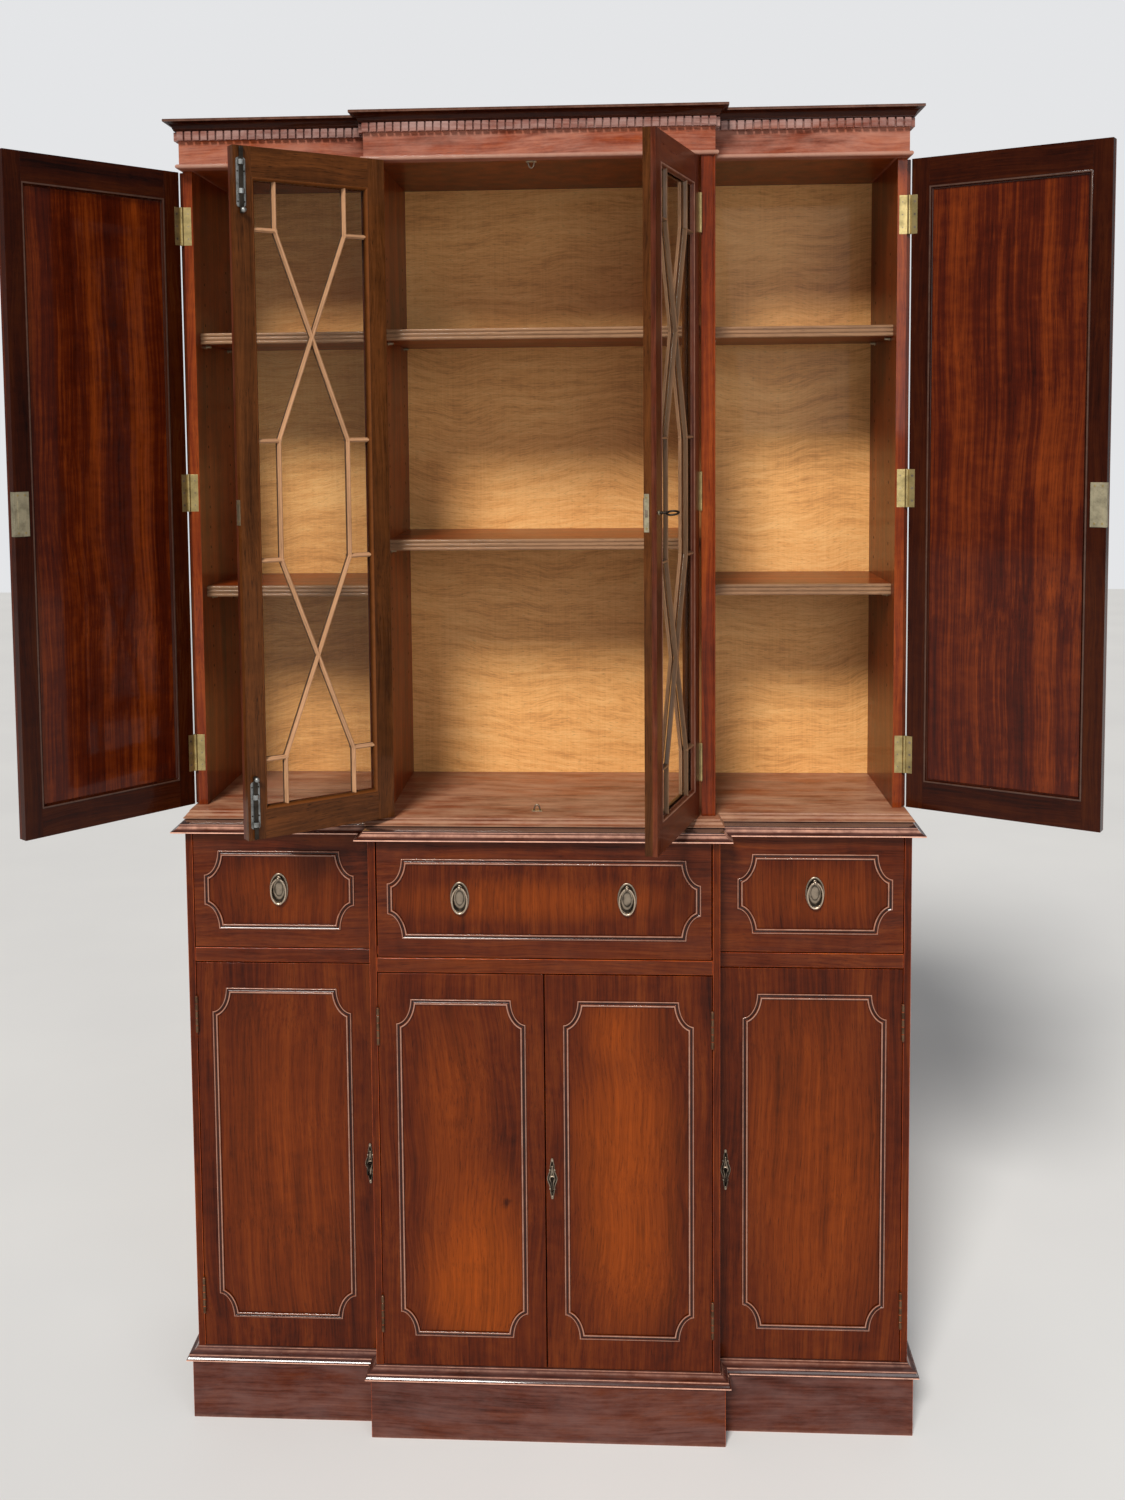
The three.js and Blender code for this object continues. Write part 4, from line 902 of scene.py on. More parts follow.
def build_carcass():
    """The standing boards of the cabinet and its rails, with softened edges."""
    side, middle = base_side, base_partition
    stile = 11 * mm
    stop = base_front + 20.3 * mm
    left = prism([
        (side.left, side.front), (side.left + stile, side.front), (side.left + stile, stop),
        (side.right, stop), (side.right, side.back), (side.left, side.back),
    ], side.bottom, side.top)
    inside, outside = middle.right, middle.right - stile
    centre = prism([
        (outside, middle.front), (inside, middle.front), (inside, middle.back),
        (middle.left, middle.back), (middle.left, stop), (outside, stop),
    ], middle.bottom, middle.top).along("z", 0.5)
    for name, solid in (("side", left), ("partition", centre)):
        for word in ("left", "right"):
            parts = handed(word, [(solid, "polished_upright")])
            joinery(f"cabinet_{name}_{word}", parts, "carcass", f"base_{name}_{word}")
    for word in ("left", "right", "centre"):
        rail = Box(f"rail_{word}")
        depth = rail.front + 20 * mm
        front = board(rail.left, rail.right, rail.front, depth, rail.bottom, rail.top).along("x", rail.left)
        dust = board(rail.left + 7 * mm, rail.right - 7 * mm, depth, rail.back,
                     rail.bottom + 4 * mm, rail.top - 0.3 * mm).along("x")
        joinery(f"drawer_rail_{word}", [(front, "polished"), (dust, "lining")], "carcass", f"rail_{word}")
    finish_nodes("bay_board_plain", "bookcase_side_left", "bookcase_side_right", "bookcase_roof")
    finish_nodes("back_board_plain", "bookcase_back", "base_back")


def build_pilasters():
    """The bookcase partitions: the front edge of each is a pilaster with a fine groove."""
    outside, inside = partition.left, partition.right
    front, back = partition.front, partition.back
    near, far, deep = outside + 3 * mm, outside + 5 * mm, front + 1.5 * mm
    left = prism([
        (outside, front), (near, front), (near, deep), (far, deep), (far, front), (inside, front),
        (inside, back), (outside, back),
    ], partition.bottom, partition.top).along("z", 0.2)
    for word in ("left", "right"):
        piece(f"pilaster_{word}", handed(word, [(left, "bay_board")]), "carcass", "panel", 0.5 * mm,
              [f"bookcase_partition_{word}"])


def build_shelves():
    """Boards whose front edge is worked into three rounded reeds between two grooves."""
    reed, turn = 5 * mm, np.linspace(-pi / 2, pi / 2, 9)
    round_reed = np.column_stack([1.6 * mm * (1 - np.cos(turn)), reed / 2 * (1 + np.sin(turn))])
    for level in ("upper", "lower"):
        for word in ("left", "centre", "right"):
            box = Box(f"shelf_{level}_{word}")
            deep = box.front + 8 * mm
            feet = (box.bottom, box.bottom + 6 * mm, box.top - reed)
            nose = [round_reed + (box.front, foot) for foot in feet]
            lip = np.vstack([[(deep, box.top), (deep, box.bottom)], *nose])
            edge = prism(lip, box.left, box.right, "x").along("x", box.bottom)
            top = board(box.left, box.right, deep, box.back, box.bottom, box.top).along("x", box.left)
            parts = [(edge, "shelf_edge"), (top, "bay_board")]
            piece(f"shelf_{level}_{word}_board", parts, "carcass", "panel", 0, [f"shelf_{level}_{word}"], 30)


def panelled(left, right, face, bottom, top, back, margins, field, look, shift=0.0, along="z"):
    """A slab with an applied scooped moulding and, inside it, a field of figured veneer. The margins
    are left, right, foot and top distances, in millimetres, from the slab's edges to the moulding's
    outer line."""
    slab = board(left, right, face, back, bottom, top).along(along, shift)
    west, east, foot, head = (margin * mm for margin in margins)
    inner = (left + west, right - east, bottom + foot, top - head)
    width, proud = sizes().moulding_width, sizes().moulding_proud
    rings = [
        stood(scooped(*inner, across * width), face - high * proud) for across, high, _ in moulding_shares
    ]
    bead = shell(rings, ring_round=True, wear=np.array(moulding_shares)[:, 2:]).along(along, shift + 0.3)
    veneer = prism(scooped(*inner, width - 1 * mm), face - 0.25 * mm, face + 1 * mm, "y")
    return [(slab, look), (bead, "moulding"), (veneer, field)]


def butt_hinge(pin, middle, radius, leaf, look):
    """A butt hinge: a barrel of five knuckles with small gaps between, ball tips, and one leaf between
    its left, right, front and back planes."""
    low, high = middle - sizes().hinge_length / 2, middle + sizes().hinge_length / 2
    end = sizes().hinge_length / mm
    share, gap, throat = end / 5, 0.35, radius * 0.86
    profile = [(radius * 0.3, -0.8), (radius * 0.7, -0.5)]
    for start in np.arange(5) * share:
        profile += [
            (throat, start), (radius, start + gap), (radius, start + share - gap), (throat, start + share),
        ]
    profile += [(radius * 0.7, end + 0.5), (radius * 0.3, end + 0.8)]
    barrel = lathe(profile, (*pin, low), "z", 16)
    return [(barrel, look), (board(*leaf, low, high), look)]


# Lower doors

def build_lower_doors():
    """Four veneered doors with two small brass hinges each. The right ones are mirrored, but take
    their grain from where they are, so that no two doors are mirror images."""
    low, high = cupboard_box.bottom, cupboard_box.top
    for name, kind, face, (left, right), margins, shifts in (
        ("side", "", base_front, side_bay, (23.5, 34.5, 47, 39), (0.0, 0.8)),
        ("centre", "_centre", base_centre_front, centre_bay, (27, 27, 47, 39), (0.35, 1.3)),
    ):
        pin = (left - 0.75 * mm, face - 2.5 * mm)
        leaf = (pin[0], left + 1.5 * mm, face - 2.2 * mm, face + 5 * mm)
        for word, shift in zip(("left", "right"), shifts):
            parts = panelled(left, right, face, low, high, face + 20 * mm, margins,
                             f"field{kind}_{word}", "polished_upright", shift)
            for middle in (low + sizes().hinge_end, high - sizes().hinge_end):
                parts += butt_hinge(pin, middle, 2.2, leaf, "hinge_brass_old")
            if word == "right":
                parts = [(solid.along("z"), look) for solid, look in mirrored(parts)]
            node = f"lower_door{kind}_{word}"
            joinery(f"{name}_cupboard_door_{word}", parts, node, node)


# Drawers

front_thick = 18 * mm


def open_box(left, right, front, back, bottom, top, wall, floor):
    """A drawer box: two sides, a back and a front board, and a bottom held in them."""
    west, east, near, far = left + wall, right - wall, front + wall, back - wall
    return [(solid, "lining") for solid in (
        board(left, west, front, back, bottom, top).along("y"),
        board(east, right, front, back, bottom, top).along("y", 0.4),
        board(west, east, far, back, bottom, top).along("x", 0.2),
        board(west, east, front, near, bottom, top).along("x", 0.7),
        board(west, east, near, far, bottom, bottom + floor).along("x", 0.9),
    )]


def build_drawers():
    """Side drawers: a moulded front and a plain box behind it."""
    back = base_front + front_thick
    wall, floor = 9 * mm, 6 * mm
    for word, shift in (("left", 0.0), ("right", 0.6)):
        node = f"drawer_{word}"
        box = Box(node)
        parts = panelled(*side_bay, base_front, fall_box.bottom, box.top, back, (15.5, 26.5, 28, 28),
                         "field_drawer", "polished", shift, "x")
        parts += open_box(-base_half + 20 * mm, -base_centre_half - 9 * mm, back - wall, box.back,
                          box.bottom, box.top - 12 * mm, wall, floor)
        joinery(f"side_drawer_{word}", handed(word, parts), node, node)


def build_secretaire():
    """The centre drawer: its fall front with a leather writing panel, and the box and nest behind."""
    half, low, high = fall_box.right, fall_box.bottom, fall_box.top
    face, back, inset = base_centre_front, base_centre_front + front_thick, 26 * mm
    parts = panelled(-half, half, face, low, high, back, (15, 15, 28, 28), "field_drawer", "polished",
                     along="x")
    bevel = [(face, low), (back - 4.5 * mm, low), (back, low + 7.5 * mm), (back, high), (face, high)]
    parts[0] = (prism(bevel, -half, half, "x").along("x"), "polished")
    leather = board(-half + inset, half - inset, back - 1 * mm, back + 0.2 * mm, low + inset, high - inset)
    parts.append((leather.along("x"), "leather"))
    joinery("secretaire_fall", parts, "fall_front", "fall_front")
    finish_nodes("lining_plain", "secretaire_drawer", "secretaire_nest")


# Handles, escutcheons and keys

# Pressed plates: share of the outline, height off the face in millimetres, wear
rose_relief = [
    (0.96, 0.0, -1), (1.0, 0.5, 0.0), (0.985, 1.15, 0.8), (0.94, 1.5, 1.0), (0.88, 1.35, 0.5),
    (0.83, 0.85, -0.9), (0.74, 0.75, -1.0), (0.66, 0.8, -0.8), (0.60, 1.05, 0.3), (0.56, 1.25, 0.9),
    (0.52, 1.1, 0.2), (0.44, 1.2, -0.8), (0.30, 1.5, 0.3), (0.14, 1.65, 0.8), (0.03, 1.7, 0.8),
]
escutcheon_relief = [
    (0.97, 0.3, -1), (1.0, 0.8, 0.0), (0.99, 1.5, 0.8), (0.93, 1.75, 1.0), (0.86, 1.5, 0.3),
    (0.80, 0.9, -1.0), (0.60, 0.8, -1.0), (0.50, 1.2, 0.3), (0.40, 1.35, 0.8), (0.26, 1.0, -0.6),
    (0.05, 0.9, -0.8),
]
escutcheon_pins = [
    (0.0, 0.86), (0.0, -0.86), (0.5, 0.42), (-0.5, 0.42), (0.45, -0.5), (-0.45, -0.5), (0.0, 0.58),
]
# Turned profiles: radius, distance back from the face
post_profile = [
    (3.4, -1.5), (3.4, -2.4), (2.1, -3.1), (2.0, -4.3), (3.1, -5.0), (3.5, -5.9), (3.1, -7.1),
    (2.0, -8.1), (0.5, -8.6),
]
collar_profile = [(4.6, 0.6), (4.6, -0.9), (3.6, -1.5), (2.5, -1.2), (2.4, 0.4)]
bead_profile = [(1.5, 0.8), (1.5, 0), (1.1, -0.8), (0.3, -1.1)]
shank_profile = [
    (1.6, 14), (1.6, -3.0), (2.4, -3.4), (2.4, -4.6), (1.6, -5.2), (1.5, -9.4), (2.2, -10.0),
    (2.2, -11.4), (1.3, -12.2),
]


def build_handles():
    """Oval plates pressed in relief, with a rolled rim, a dished ring and a raised boss; a small round
    post at the top of each; and the bail that hangs from it, thicker at its foot."""
    turn = turns(64)
    swell = 1 + 0.28 * np.clip(-np.sin(turn), 0, 1) ** 2
    for word, face, body in (
        ("left", base_front, "drawer_left"), ("right", base_front, "drawer_right"),
        ("centre_left", base_centre_front, "fall_front"), ("centre_right", base_centre_front, "fall_front"),
    ):
        node = f"handle_plate_{word}"
        x, z = Box(node).x, Box(node).z
        plate = relief(oval(14.5 * mm, 25 * mm, turns(48)), (x, face - 0.3 * mm, z), rose_relief)
        post = lathe(post_profile, (x, face, z + 16.5 * mm), "y", 20)
        parts = [(plate, "handle_brass"), (post, "handle_brass")]
        piece(f"handle_rose_{word}", parts, body, "brass", 0, [node], 50)
        path = stood(oval(11.5 * mm, 19.5 * mm, turn), 0) + (x, face - 5.9 * mm, z - 3 * mm)
        ring = wire(path, 1.38 * mm * swell, 12, True).rubbed(0.6)
        piece(f"bail_ring_{word}", [(ring, "bail_brass")], f"bail_{word}", "brass", 0, [f"bail_{word}"], 60)


def build_escutcheons():
    """Pierced and chased plates: a raised rim round a dished field, with pins and a keyhole boss. The
    outline is an oval whose half width swells and narrows down its height as
    w(t) = 0.70 + 0.22 cos 4t + 0.08 cos 8t, with t once round."""
    turn = turns(96)
    swell = 0.70 + 0.22 * np.cos(4 * turn) + 0.08 * np.cos(8 * turn)
    outline = np.column_stack([1.05 * swell * np.cos(turn), np.sin(turn) * (1 - 0.10 * np.cos(turn) ** 2)])
    for word, face, body in (
        ("left", base_front, "lower_door_left"), ("right", base_front, "lower_door_right"),
        ("centre", base_centre_front, "lower_door_centre_right"),
    ):
        box = Box(f"escutcheon_{word}")
        half = np.array([box.right - box.left, box.top - box.bottom]) / 2
        parts = [(relief(outline * half, (box.x, face, box.z), escutcheon_relief), "bronze")]
        for across, up in escutcheon_pins * half:
            centre = (box.x + across, face - 1.2 * mm, box.z + up)
            parts.append((lathe(bead_profile, centre, "y", 14).rubbed(0.9), "bronze"))
        collar = lathe(collar_profile, (box.x, face - 0.8 * mm, box.z))
        # Keyhole slot under the key: a dark iron bar standing proud of the plate, painted shade for the
        # keyhole's opening
        slot = block((box.x, face, box.z), (-1.1, 1.1), (-1.5, -0.7), (-6.5, 0))
        parts += [(collar, "bronze"), (slot, "iron")]
        piece(f"escutcheon_plate_{word}", parts, body, "brass", 0, [f"escutcheon_{word}"], 45)


def key_parts(x, z, face, tilt=0.0):
    """A key in its lock: turned shank with collars, and an oval bow in the upright plane through it.
    tilt turns it about its shank."""
    turn = turns(48)
    bow = np.column_stack([
        np.full(48, x), face + 8.0 * mm * np.cos(turn) - 19.2 * mm,
        z + 8.5 * mm * np.sin(turn) * (1 + 0.10 * np.cos(turn)),
    ])
    solids = (lathe(shank_profile, (x, face, z), "y", 16), wire(bow, 1.5 * mm, 10, True).rubbed(0.35))
    return [(solid.turned((x, z), -tilt, (0, 2)), "iron") for solid in solids]


def build_keys():
    """The cupboards' keys, and the glazed door's key, which hangs at a slant."""
    for word, face in (("left", base_front), ("right", base_front), ("centre", base_centre_front)):
        box = Box(f"key_{word}")
        piece(f"cupboard_key_{word}", key_parts(box.x, box.z, face), f"key_{word}", "iron", 0,
              [f"key_{word}"], 50)
    key = key_parts(14.2 * mm, glazed_key_z, upper_centre_front, radians(75))
    key = opened(key, hung["glazed_door_right"])
    piece("glazed_door_key", key, "key_glazed", "iron", 0, ["key_glazed"], 50)


# Upper doors

screw_rows = (-19 * mm, 0, 19 * mm)
# Mouldings led round an opening: distance outward from it, distance from the face, and wear with
# painted highlight on the crests
dark_lip_profile = [
    (0.0, 3.2, 0), (0.0, -0.6, 0.3), (-0.8, -1.0, 0.8), (-2.6, -0.9, 0.7), (-3.0, -0.4, 0.2),
    (-3.4, 1.2, 0), (-4.6, 2.2, 0.1), (-5.4, 2.6, 0.3), (-5.6, 3.2, 0),
]
sight_ovolo_profile = [
    (0, 0.5, 0), (0.4, -0.3, 0.6), (-0.6, -0.7, 0.9), (-2.2, 0.2, 0.4), (-3.2, 1.6, 0.2),
    (-3.6, 3.2, 0.1), (-4.4, 3.6, 0.5), (-5.0, 5.5, 0.2), (0.5, 5.5, 0),
]
sight_rim_profile = [
    (0.3, 0.5, 0), (-0.2, -0.5, 0.5), (-1.6, -0.6, 0.9), (-3.0, 0.6, 0.8), (-4.2, 3.0, 0.6),
    (-4.8, 6.0, 0.3), (-4.8, 8.0, 0.0), (0.3, 8.0, 0),
]


def hinge_heights():
    """Middles of the three hinges of every upper door."""
    end = sizes().hinge_end
    return (upper_bottom + end, (upper_bottom + upper_top) / 2, upper_top - end)


def screws(places, radius=1.9, axis="y", look="bronze"):
    """Countersunk screw heads: shallow domes."""
    profile = [(radius, 0.25), (radius, -0.1), (radius * 0.8, -0.4), (radius * 0.2, -0.5)]
    return [(lathe(profile, place, axis, 16), look) for place in places]


def door_frame(left, right, front, back, look, shift):
    """Two upright stiles with two rails between them, each a board with its own grain."""
    west, east = left + sizes().upper_stile, right - sizes().upper_stile
    foot, head = upper_bottom + sizes().upper_rail, upper_top - sizes().upper_rail
    return [
        (board(left, west, front, back, upper_bottom, upper_top).along("z", shift), look),
        (board(east, right, front, back, upper_bottom, upper_top).along("z", shift + 0.4), look),
        (board(west, east, front, back, upper_bottom, foot).along("x", shift + 0.2), look),
        (board(west, east, front, back, head, upper_top).along("x", shift + 0.6), look),
    ]


def sight(left, right):
    """The opening inside a door's frame: left, right, bottom and top."""
    stile, rail = sizes().upper_stile, sizes().upper_rail
    return left + stile, right - stile, upper_bottom + rail, upper_top - rail


def build_side_doors():
    """Solid doors. Outside: a plain slab with a scooped moulding. Inside: a frame round a sunk panel,
    edged by a thin square moulding, with a lock at the free stile and three butt hinges."""
    left, right = -upper_half, -upper_centre_half - door_gap
    front, middle, back = upper_front, upper_front + 6 * mm, upper_front + upper_thick
    pin = hung["side_door_left"].pin
    inside = sight(left, right)
    lock_at = (right, back, (upper_bottom + upper_top) / 2 - 20 * mm)
    for word, shift in (("left", 0.0), ("right", 0.9)):
        node = f"side_door_{word}"
        parts = panelled(left, right, front, upper_bottom, upper_top, middle, (27, 27, 27, 27),
                         "polished_upright", "polished_upright", shift)
        parts += door_frame(left, right, middle, back, "door_frame", shift)
        panel = board(*inside[:2], middle, back - 4 * mm, *inside[2:]).along("z", shift)
        lip = picture_moulding(*inside, back, 1, dark_lip_profile).along("z", shift)
        parts += [(panel, "door_panel"), (lip, "dark_bead")]
        for z in hinge_heights():
            leaf = (pin[0], left + 9 * mm, back - 1.4 * mm, back + 0.06 * mm)
            parts += butt_hinge(pin, z, 2.9, leaf, "hinge_brass")
            parts += screws((left + 5 * mm, back - 0.13 * mm, z + up) for up in screw_rows)
        piece(f"side_door_panelled_{word}", swung(node, parts), node, "polished", sizes().soft_edge, [node])
        lock = [
            (block(lock_at, (-22.5, -0.5), (-1, 0.8), (-32, 32)), "lock_brass"),
            (block(lock_at, (-1, 0.6), (-9, 0.8), (-32, 32)), "lock_brass"),
            (block(lock_at, (-18, -5), (0, 1.4), (-20, 20)), "lock_brass"),
        ]
        lock += screws([
            (right - across * mm, back + 0.9 * mm, lock_at[2] + up * mm)
            for up in (-27, 27) for across in (5.5, 16.5)
        ], 1.5, look="hinge_brass")
        piece(f"side_door_lock_{word}", swung(node, lock), node, "brass", 0.2 * mm)


# Glazed doors

# Glazing bars as shares of the opening, across from the left and down from the top
bar_shares = [
    ((0.2, 0), (0.2, 0.08)), ((0.8, 0), (0.8, 0.08)),
    ((0, 0.08), (0.2, 0.08)), ((0.8, 0.08), (1, 0.08)),
    ((0.2, 0.08), (0.8, 0.41)), ((0.8, 0.08), (0.2, 0.41)),
    ((0, 0.41), (0.2, 0.41)), ((0.8, 0.41), (1, 0.41)),
    ((0.2, 0.41), (0.2, 0.6)), ((0.8, 0.41), (0.8, 0.6)),
    ((0, 0.6), (0.2, 0.6)), ((0.8, 0.6), (1, 0.6)),
    ((0.2, 0.6), (0.8, 0.92)), ((0.8, 0.6), (0.2, 0.92)),
    ((0, 0.92), (0.2, 0.92)), ((0.8, 0.92), (1, 0.92)),
    ((0.2, 0.92), (0.2, 1)), ((0.8, 0.92), (0.8, 1)),
]
# Share across a bar, share of its rise, and wear with painted highlight, strongest on the crown
section_shares = np.array([
    (-0.5, 0.0, 0.0), (-0.5, 0.25, 0.05), (-0.36, 0.42, 0.1), (-0.30, 0.7, 0.15), (-0.2, 0.92, 0.4),
    (0.0, 1.0, 0.5), (0.2, 0.92, 0.4), (0.30, 0.7, 0.15), (0.36, 0.42, 0.1), (0.5, 0.25, 0.05),
    (0.5, 0.0, 0.0),
])


def glazing_bar(start, end, plane, rise):
    """A moulded bar from start to end, points in x and z. Its section is a flat foot on the plane, two
    hollow flanks and a rounded crown that stands off by rise, which is negative towards the front."""
    width = sizes().bar_width
    start, end = np.array(start), np.array(end)
    along = (end - start) / np.linalg.norm(end - start)
    across = np.array([-along[1], along[0]])
    rings = [
        stood(place + across * (section_shares[:, :1] * width), plane + rise * section_shares[:, 1])
        for place in (start - along * width * 0.4, end + along * width * 0.4)
    ]
    made = shell(rings, wear=section_shares[:, 2])
    flat = made.points[:, [0, 2]]
    made.grain = np.column_stack([flat @ across, made.points[:, 1], flat @ along])
    return made


def build_glazed_doors():
    """Each glazed door: frame, sight mouldings, bars on both sides, hinges, and one pane."""
    pin = hung["glazed_door_left"].pin
    left, right = pin[0] + 0.75 * mm, -meeting_gap
    front, middle, back = upper_centre_front, upper_centre_front + 7 * mm, upper_back
    pane_front, pane_back = back - 10.5 * mm, back - 8 * mm
    crown, held = front + 1 * mm, 4 * mm
    west, east, foot, head = opening = sight(left, right)
    for word, shift in (("left", 0.0), ("right", 0.8)):
        node = f"glazed_door_{word}"
        parts = door_frame(left, right, front, middle, "glazed_outside", shift)
        parts += door_frame(left, right, middle, back, "golden_stile", shift + 0.1)
        parts.append((picture_moulding(*opening, front, -1, sight_ovolo_profile), "glazed_outside"))
        parts.append((picture_moulding(*opening, back, 1, sight_rim_profile), "sight_bead"))
        for bar in bar_shares:
            ends = [(west + u * (east - west), head - v * (head - foot)) for u, v in bar]
            parts.append((glazing_bar(*ends, pane_front, crown - pane_front), "outer_bar"))
            parts.append((glazing_bar(*ends, pane_back, 5.5 * mm), "glazing_bead"))
        for z in hinge_heights():
            leaf = (pin[0], left + 1.5 * mm, pin[1], front + 5 * mm)
            parts += butt_hinge(pin, z, 2.2, leaf, "hinge_brass")
        piece(f"glazed_door_frame_{word}", swung(node, parts), node, "polished", 0.5 * mm, [node])
        glass = board(west - held, east + held, pane_front, pane_back, foot - held, head + held)
        pane = swung(node, [(glass, "glass")])
        piece(f"glazed_door_pane_{word}", pane, node, "glass", 0, [f"glass_{word}"])
    build_lock_edges()


small_collar_profile = [(3.6, 0.4), (3.6, -0.8), (3.0, -1.2), (2.4, -0.9), (2.4, 0.4)]


def build_lock_edges():
    """The strike on the free edge of the left door and the lock's edge plate on the right door."""
    edge, front, back = -meeting_gap, upper_centre_front, upper_back
    at = (edge, back, glazed_key_z)

    def edge_screws(x, y, up):
        return screws([(edge + x * mm, y, glazed_key_z + z * mm) for z in (-up, up)], 1.6, "x", "hinge_brass")

    strike = [(block(at, (-0.6, 0.5), (-15, -3), (-18, 18)), "lock_brass")]
    strike += edge_screws(0.55, (front + back) / 2, 13)
    node = "glazed_door_left"
    piece("left_door_strike", swung(node, strike), node, "brass", 0.2 * mm)
    lock = [
        (block(at, (-1, 0.6), (-7.5, -0.5), (-26, 26)), "lock_brass"),
        (block(at, (-22, -1.5), (-1, 1.2), (-20, 20)), "bronze"),
        (block(at, (0, 0.9), (-6, -2), (-6, 4)), "bronze"),
    ]
    lock += edge_screws(0.7, back - 4 * mm, 21)
    lock.append((lathe(small_collar_profile, (edge - 13 * mm, front, glazed_key_z), "y", 20), "lock_brass"))
    node = "glazed_door_right"
    piece("right_door_lock", swung(node, lock), node, "brass", 0.2 * mm)


# Surface bolts, with heights in millimetres from the door's end

bolt_x = -12.2 * mm
knob_profile = [(2.2, 1), (2.2, 4.5), (3.4, 5.6), (4.0, 7.4), (3.6, 9.2), (2.2, 10.4), (0.4, 10.9)]


def build_bolts():
    """Two bolts of the left glazed door: a plate with round ends, two bridges and four screws, and the
    rod with its knob that slides under the bridges."""
    foot = upper_back + 0.6 * mm
    arch = turns(15, 0.5)
    outer = np.column_stack([5.2 * np.cos(arch), 5.8 * np.sin(arch) ** 0.6]) * mm + (bolt_x, foot)
    inner = np.column_stack([3.5 * np.cos(arch), 4.3 * np.sin(arch) ** 0.5]) * mm + (bolt_x, foot)
    bridge = np.vstack([outer, inner[::-1]])
    end_arc = oval(7 * mm, 4.2 * mm, turns(13, 0.5))
    for end, start, up in (("top", upper_top, -mm), ("bottom", upper_bottom, mm)):
        low, high = sorted((start + 16 * up, start + 86 * up))
        plate = np.vstack([end_arc + (bolt_x, high - 4.2 * mm), (bolt_x, low + 4.2 * mm) - end_arc])
        case = [(prism(plate, upper_back - 0.6 * mm, upper_back + 1.2 * mm, "y"), "bolt_bronze")]
        for near in (20, 60):
            levels = sorted((start + near * up, start + (near + 7) * up))
            case.append((prism(bridge, *levels), "bolt_bronze"))
        case += screws([
            (bolt_x + side * mm, upper_back + 1.3 * mm, start + near * up)
            for near in (36, 78) for side in (-5, 5)
        ], 1.3, look="iron")
        door = "glazed_door_left"
        piece(f"bolt_plate_{end}", swung(door, case), door, "brass", 0.2 * mm)
        front = upper_back + 1.5 * mm
        levels = sorted((start + 2 * up, start + 94 * up))
        rod = board(bolt_x - 3 * mm, bolt_x + 3 * mm, front, front + 3 * mm, *levels)
        knob = lathe(knob_profile, (bolt_x, front, start + 90 * up)).rubbed(0.7)
        parts = swung(door, [(rod, "iron"), (knob, "bolt_bronze")])
        piece(f"bolt_rod_{end}", parts, f"bolt_{end}", "brass", 0.5 * mm, [f"bolt_{end}"])


# Small brass on the carcass

keeper_front, keeper_back, arch_plane = -119.5 * mm, -108 * mm, -116.5 * mm
lowest_hole, highest_hole = 1.15, 1.84
# Each hole is a thin disc on the upright's face, painted near black as the shadow inside it
hole_shadow_profile = [(2.4, -0.4), (2.4, 0.12), (0.3, 0.1)]
shelf_pin_profile = [(2.2, -1), (2.2, 0.2), (3.6, 0.4), (3.6, 1.4), (2.3, 1.8), (2.3, 8), (1.0, 8.6)]


def build_carcass_brass():
    """The carcass halves of the hinges, the beads behind the side doors, the bolt keepers, the shelf
    pins and their rows of holes, drawn as discs of painted shadow."""
    leaves = []
    for z in hinge_heights():
        at = (-upper_half, carcass_front, z)
        leaves.append((block(at, (-1.2, 11.5), (-0.06, 1), (-29, 29)), "hinge_brass"))
        leaves += screws([(-upper_half + 6.5 * mm, carcass_front + 0.38 * mm, z + up) for up in screw_rows])
    piece("carcass_hinge_leaves", leaves + mirrored(leaves), "carcass", "brass", 0.2 * mm)
    x, y = hung["side_door_left"].pin
    bead = board(x - 2.5 * mm, -upper_half + 0.1 * mm, y + 3.6 * mm, y + 14 * mm, upper_bottom, upper_top)
    beads = [(bead, "polished_upright")]
    piece("dust_beads", beads + mirrored(beads), "carcass", "polished", 0.8 * mm)
    keepers = []
    for z, up in ((upper_floor.top, mm), (frieze_box.bottom, -mm)):
        levels = sorted((z - 0.5 * up, z + 0.9 * up))
        plate = board(bolt_x - 8 * mm, bolt_x + 8 * mm, keeper_front, keeper_back, *levels)
        arch = oval(4.6 * mm, 9.5 * up, turns(13, 0.5)) + (bolt_x, z + 0.4 * up)
        keepers += [(plate, "lock_brass"), (wire(stood(arch, arch_plane), 1.2 * mm, 8), "bronze")]
    piece("bolt_keepers", keepers, "carcass", "brass", 0.2 * mm)
    build_shelf_pins()


def build_shelf_pins():
    """Rows of drilled holes up the uprights, each drawn as a thin disc of painted shadow, and a
    collared pin under each corner of a shelf.
    """
    holes, pins = [], []
    for word, walls in (
        ("left", (-side_inside, -upper_centre_half)), ("centre", (-bay_inside, bay_inside)),
        ("right", (upper_centre_half, side_inside)),
    ):
        shelf = Box(f"shelf_upper_{word}")
        for inward, x in zip((1, -1), walls):
            hole, pin = (np.array(profile) * (1, inward) for profile in (hole_shadow_profile, shelf_pin_profile))
            for y in (shelf.front + 32 * mm, shelf.back - 45 * mm):
                for z in np.arange(lowest_hole, highest_hole, sizes().pin_spacing):
                    holes.append((lathe(hole, (x, y, z), "x", 8), "hole"))
                for level in ("upper", "lower"):
                    z = Box(f"shelf_{level}_{word}").bottom - 2.6 * mm
                    pins.append((lathe(pin, (x, y, z), "x", 14), "lock_brass"))
    piece("pin_holes", holes, "carcass", "panel", 0)
    piece("shelf_pins", pins, "carcass", "brass", 0)


# Stage

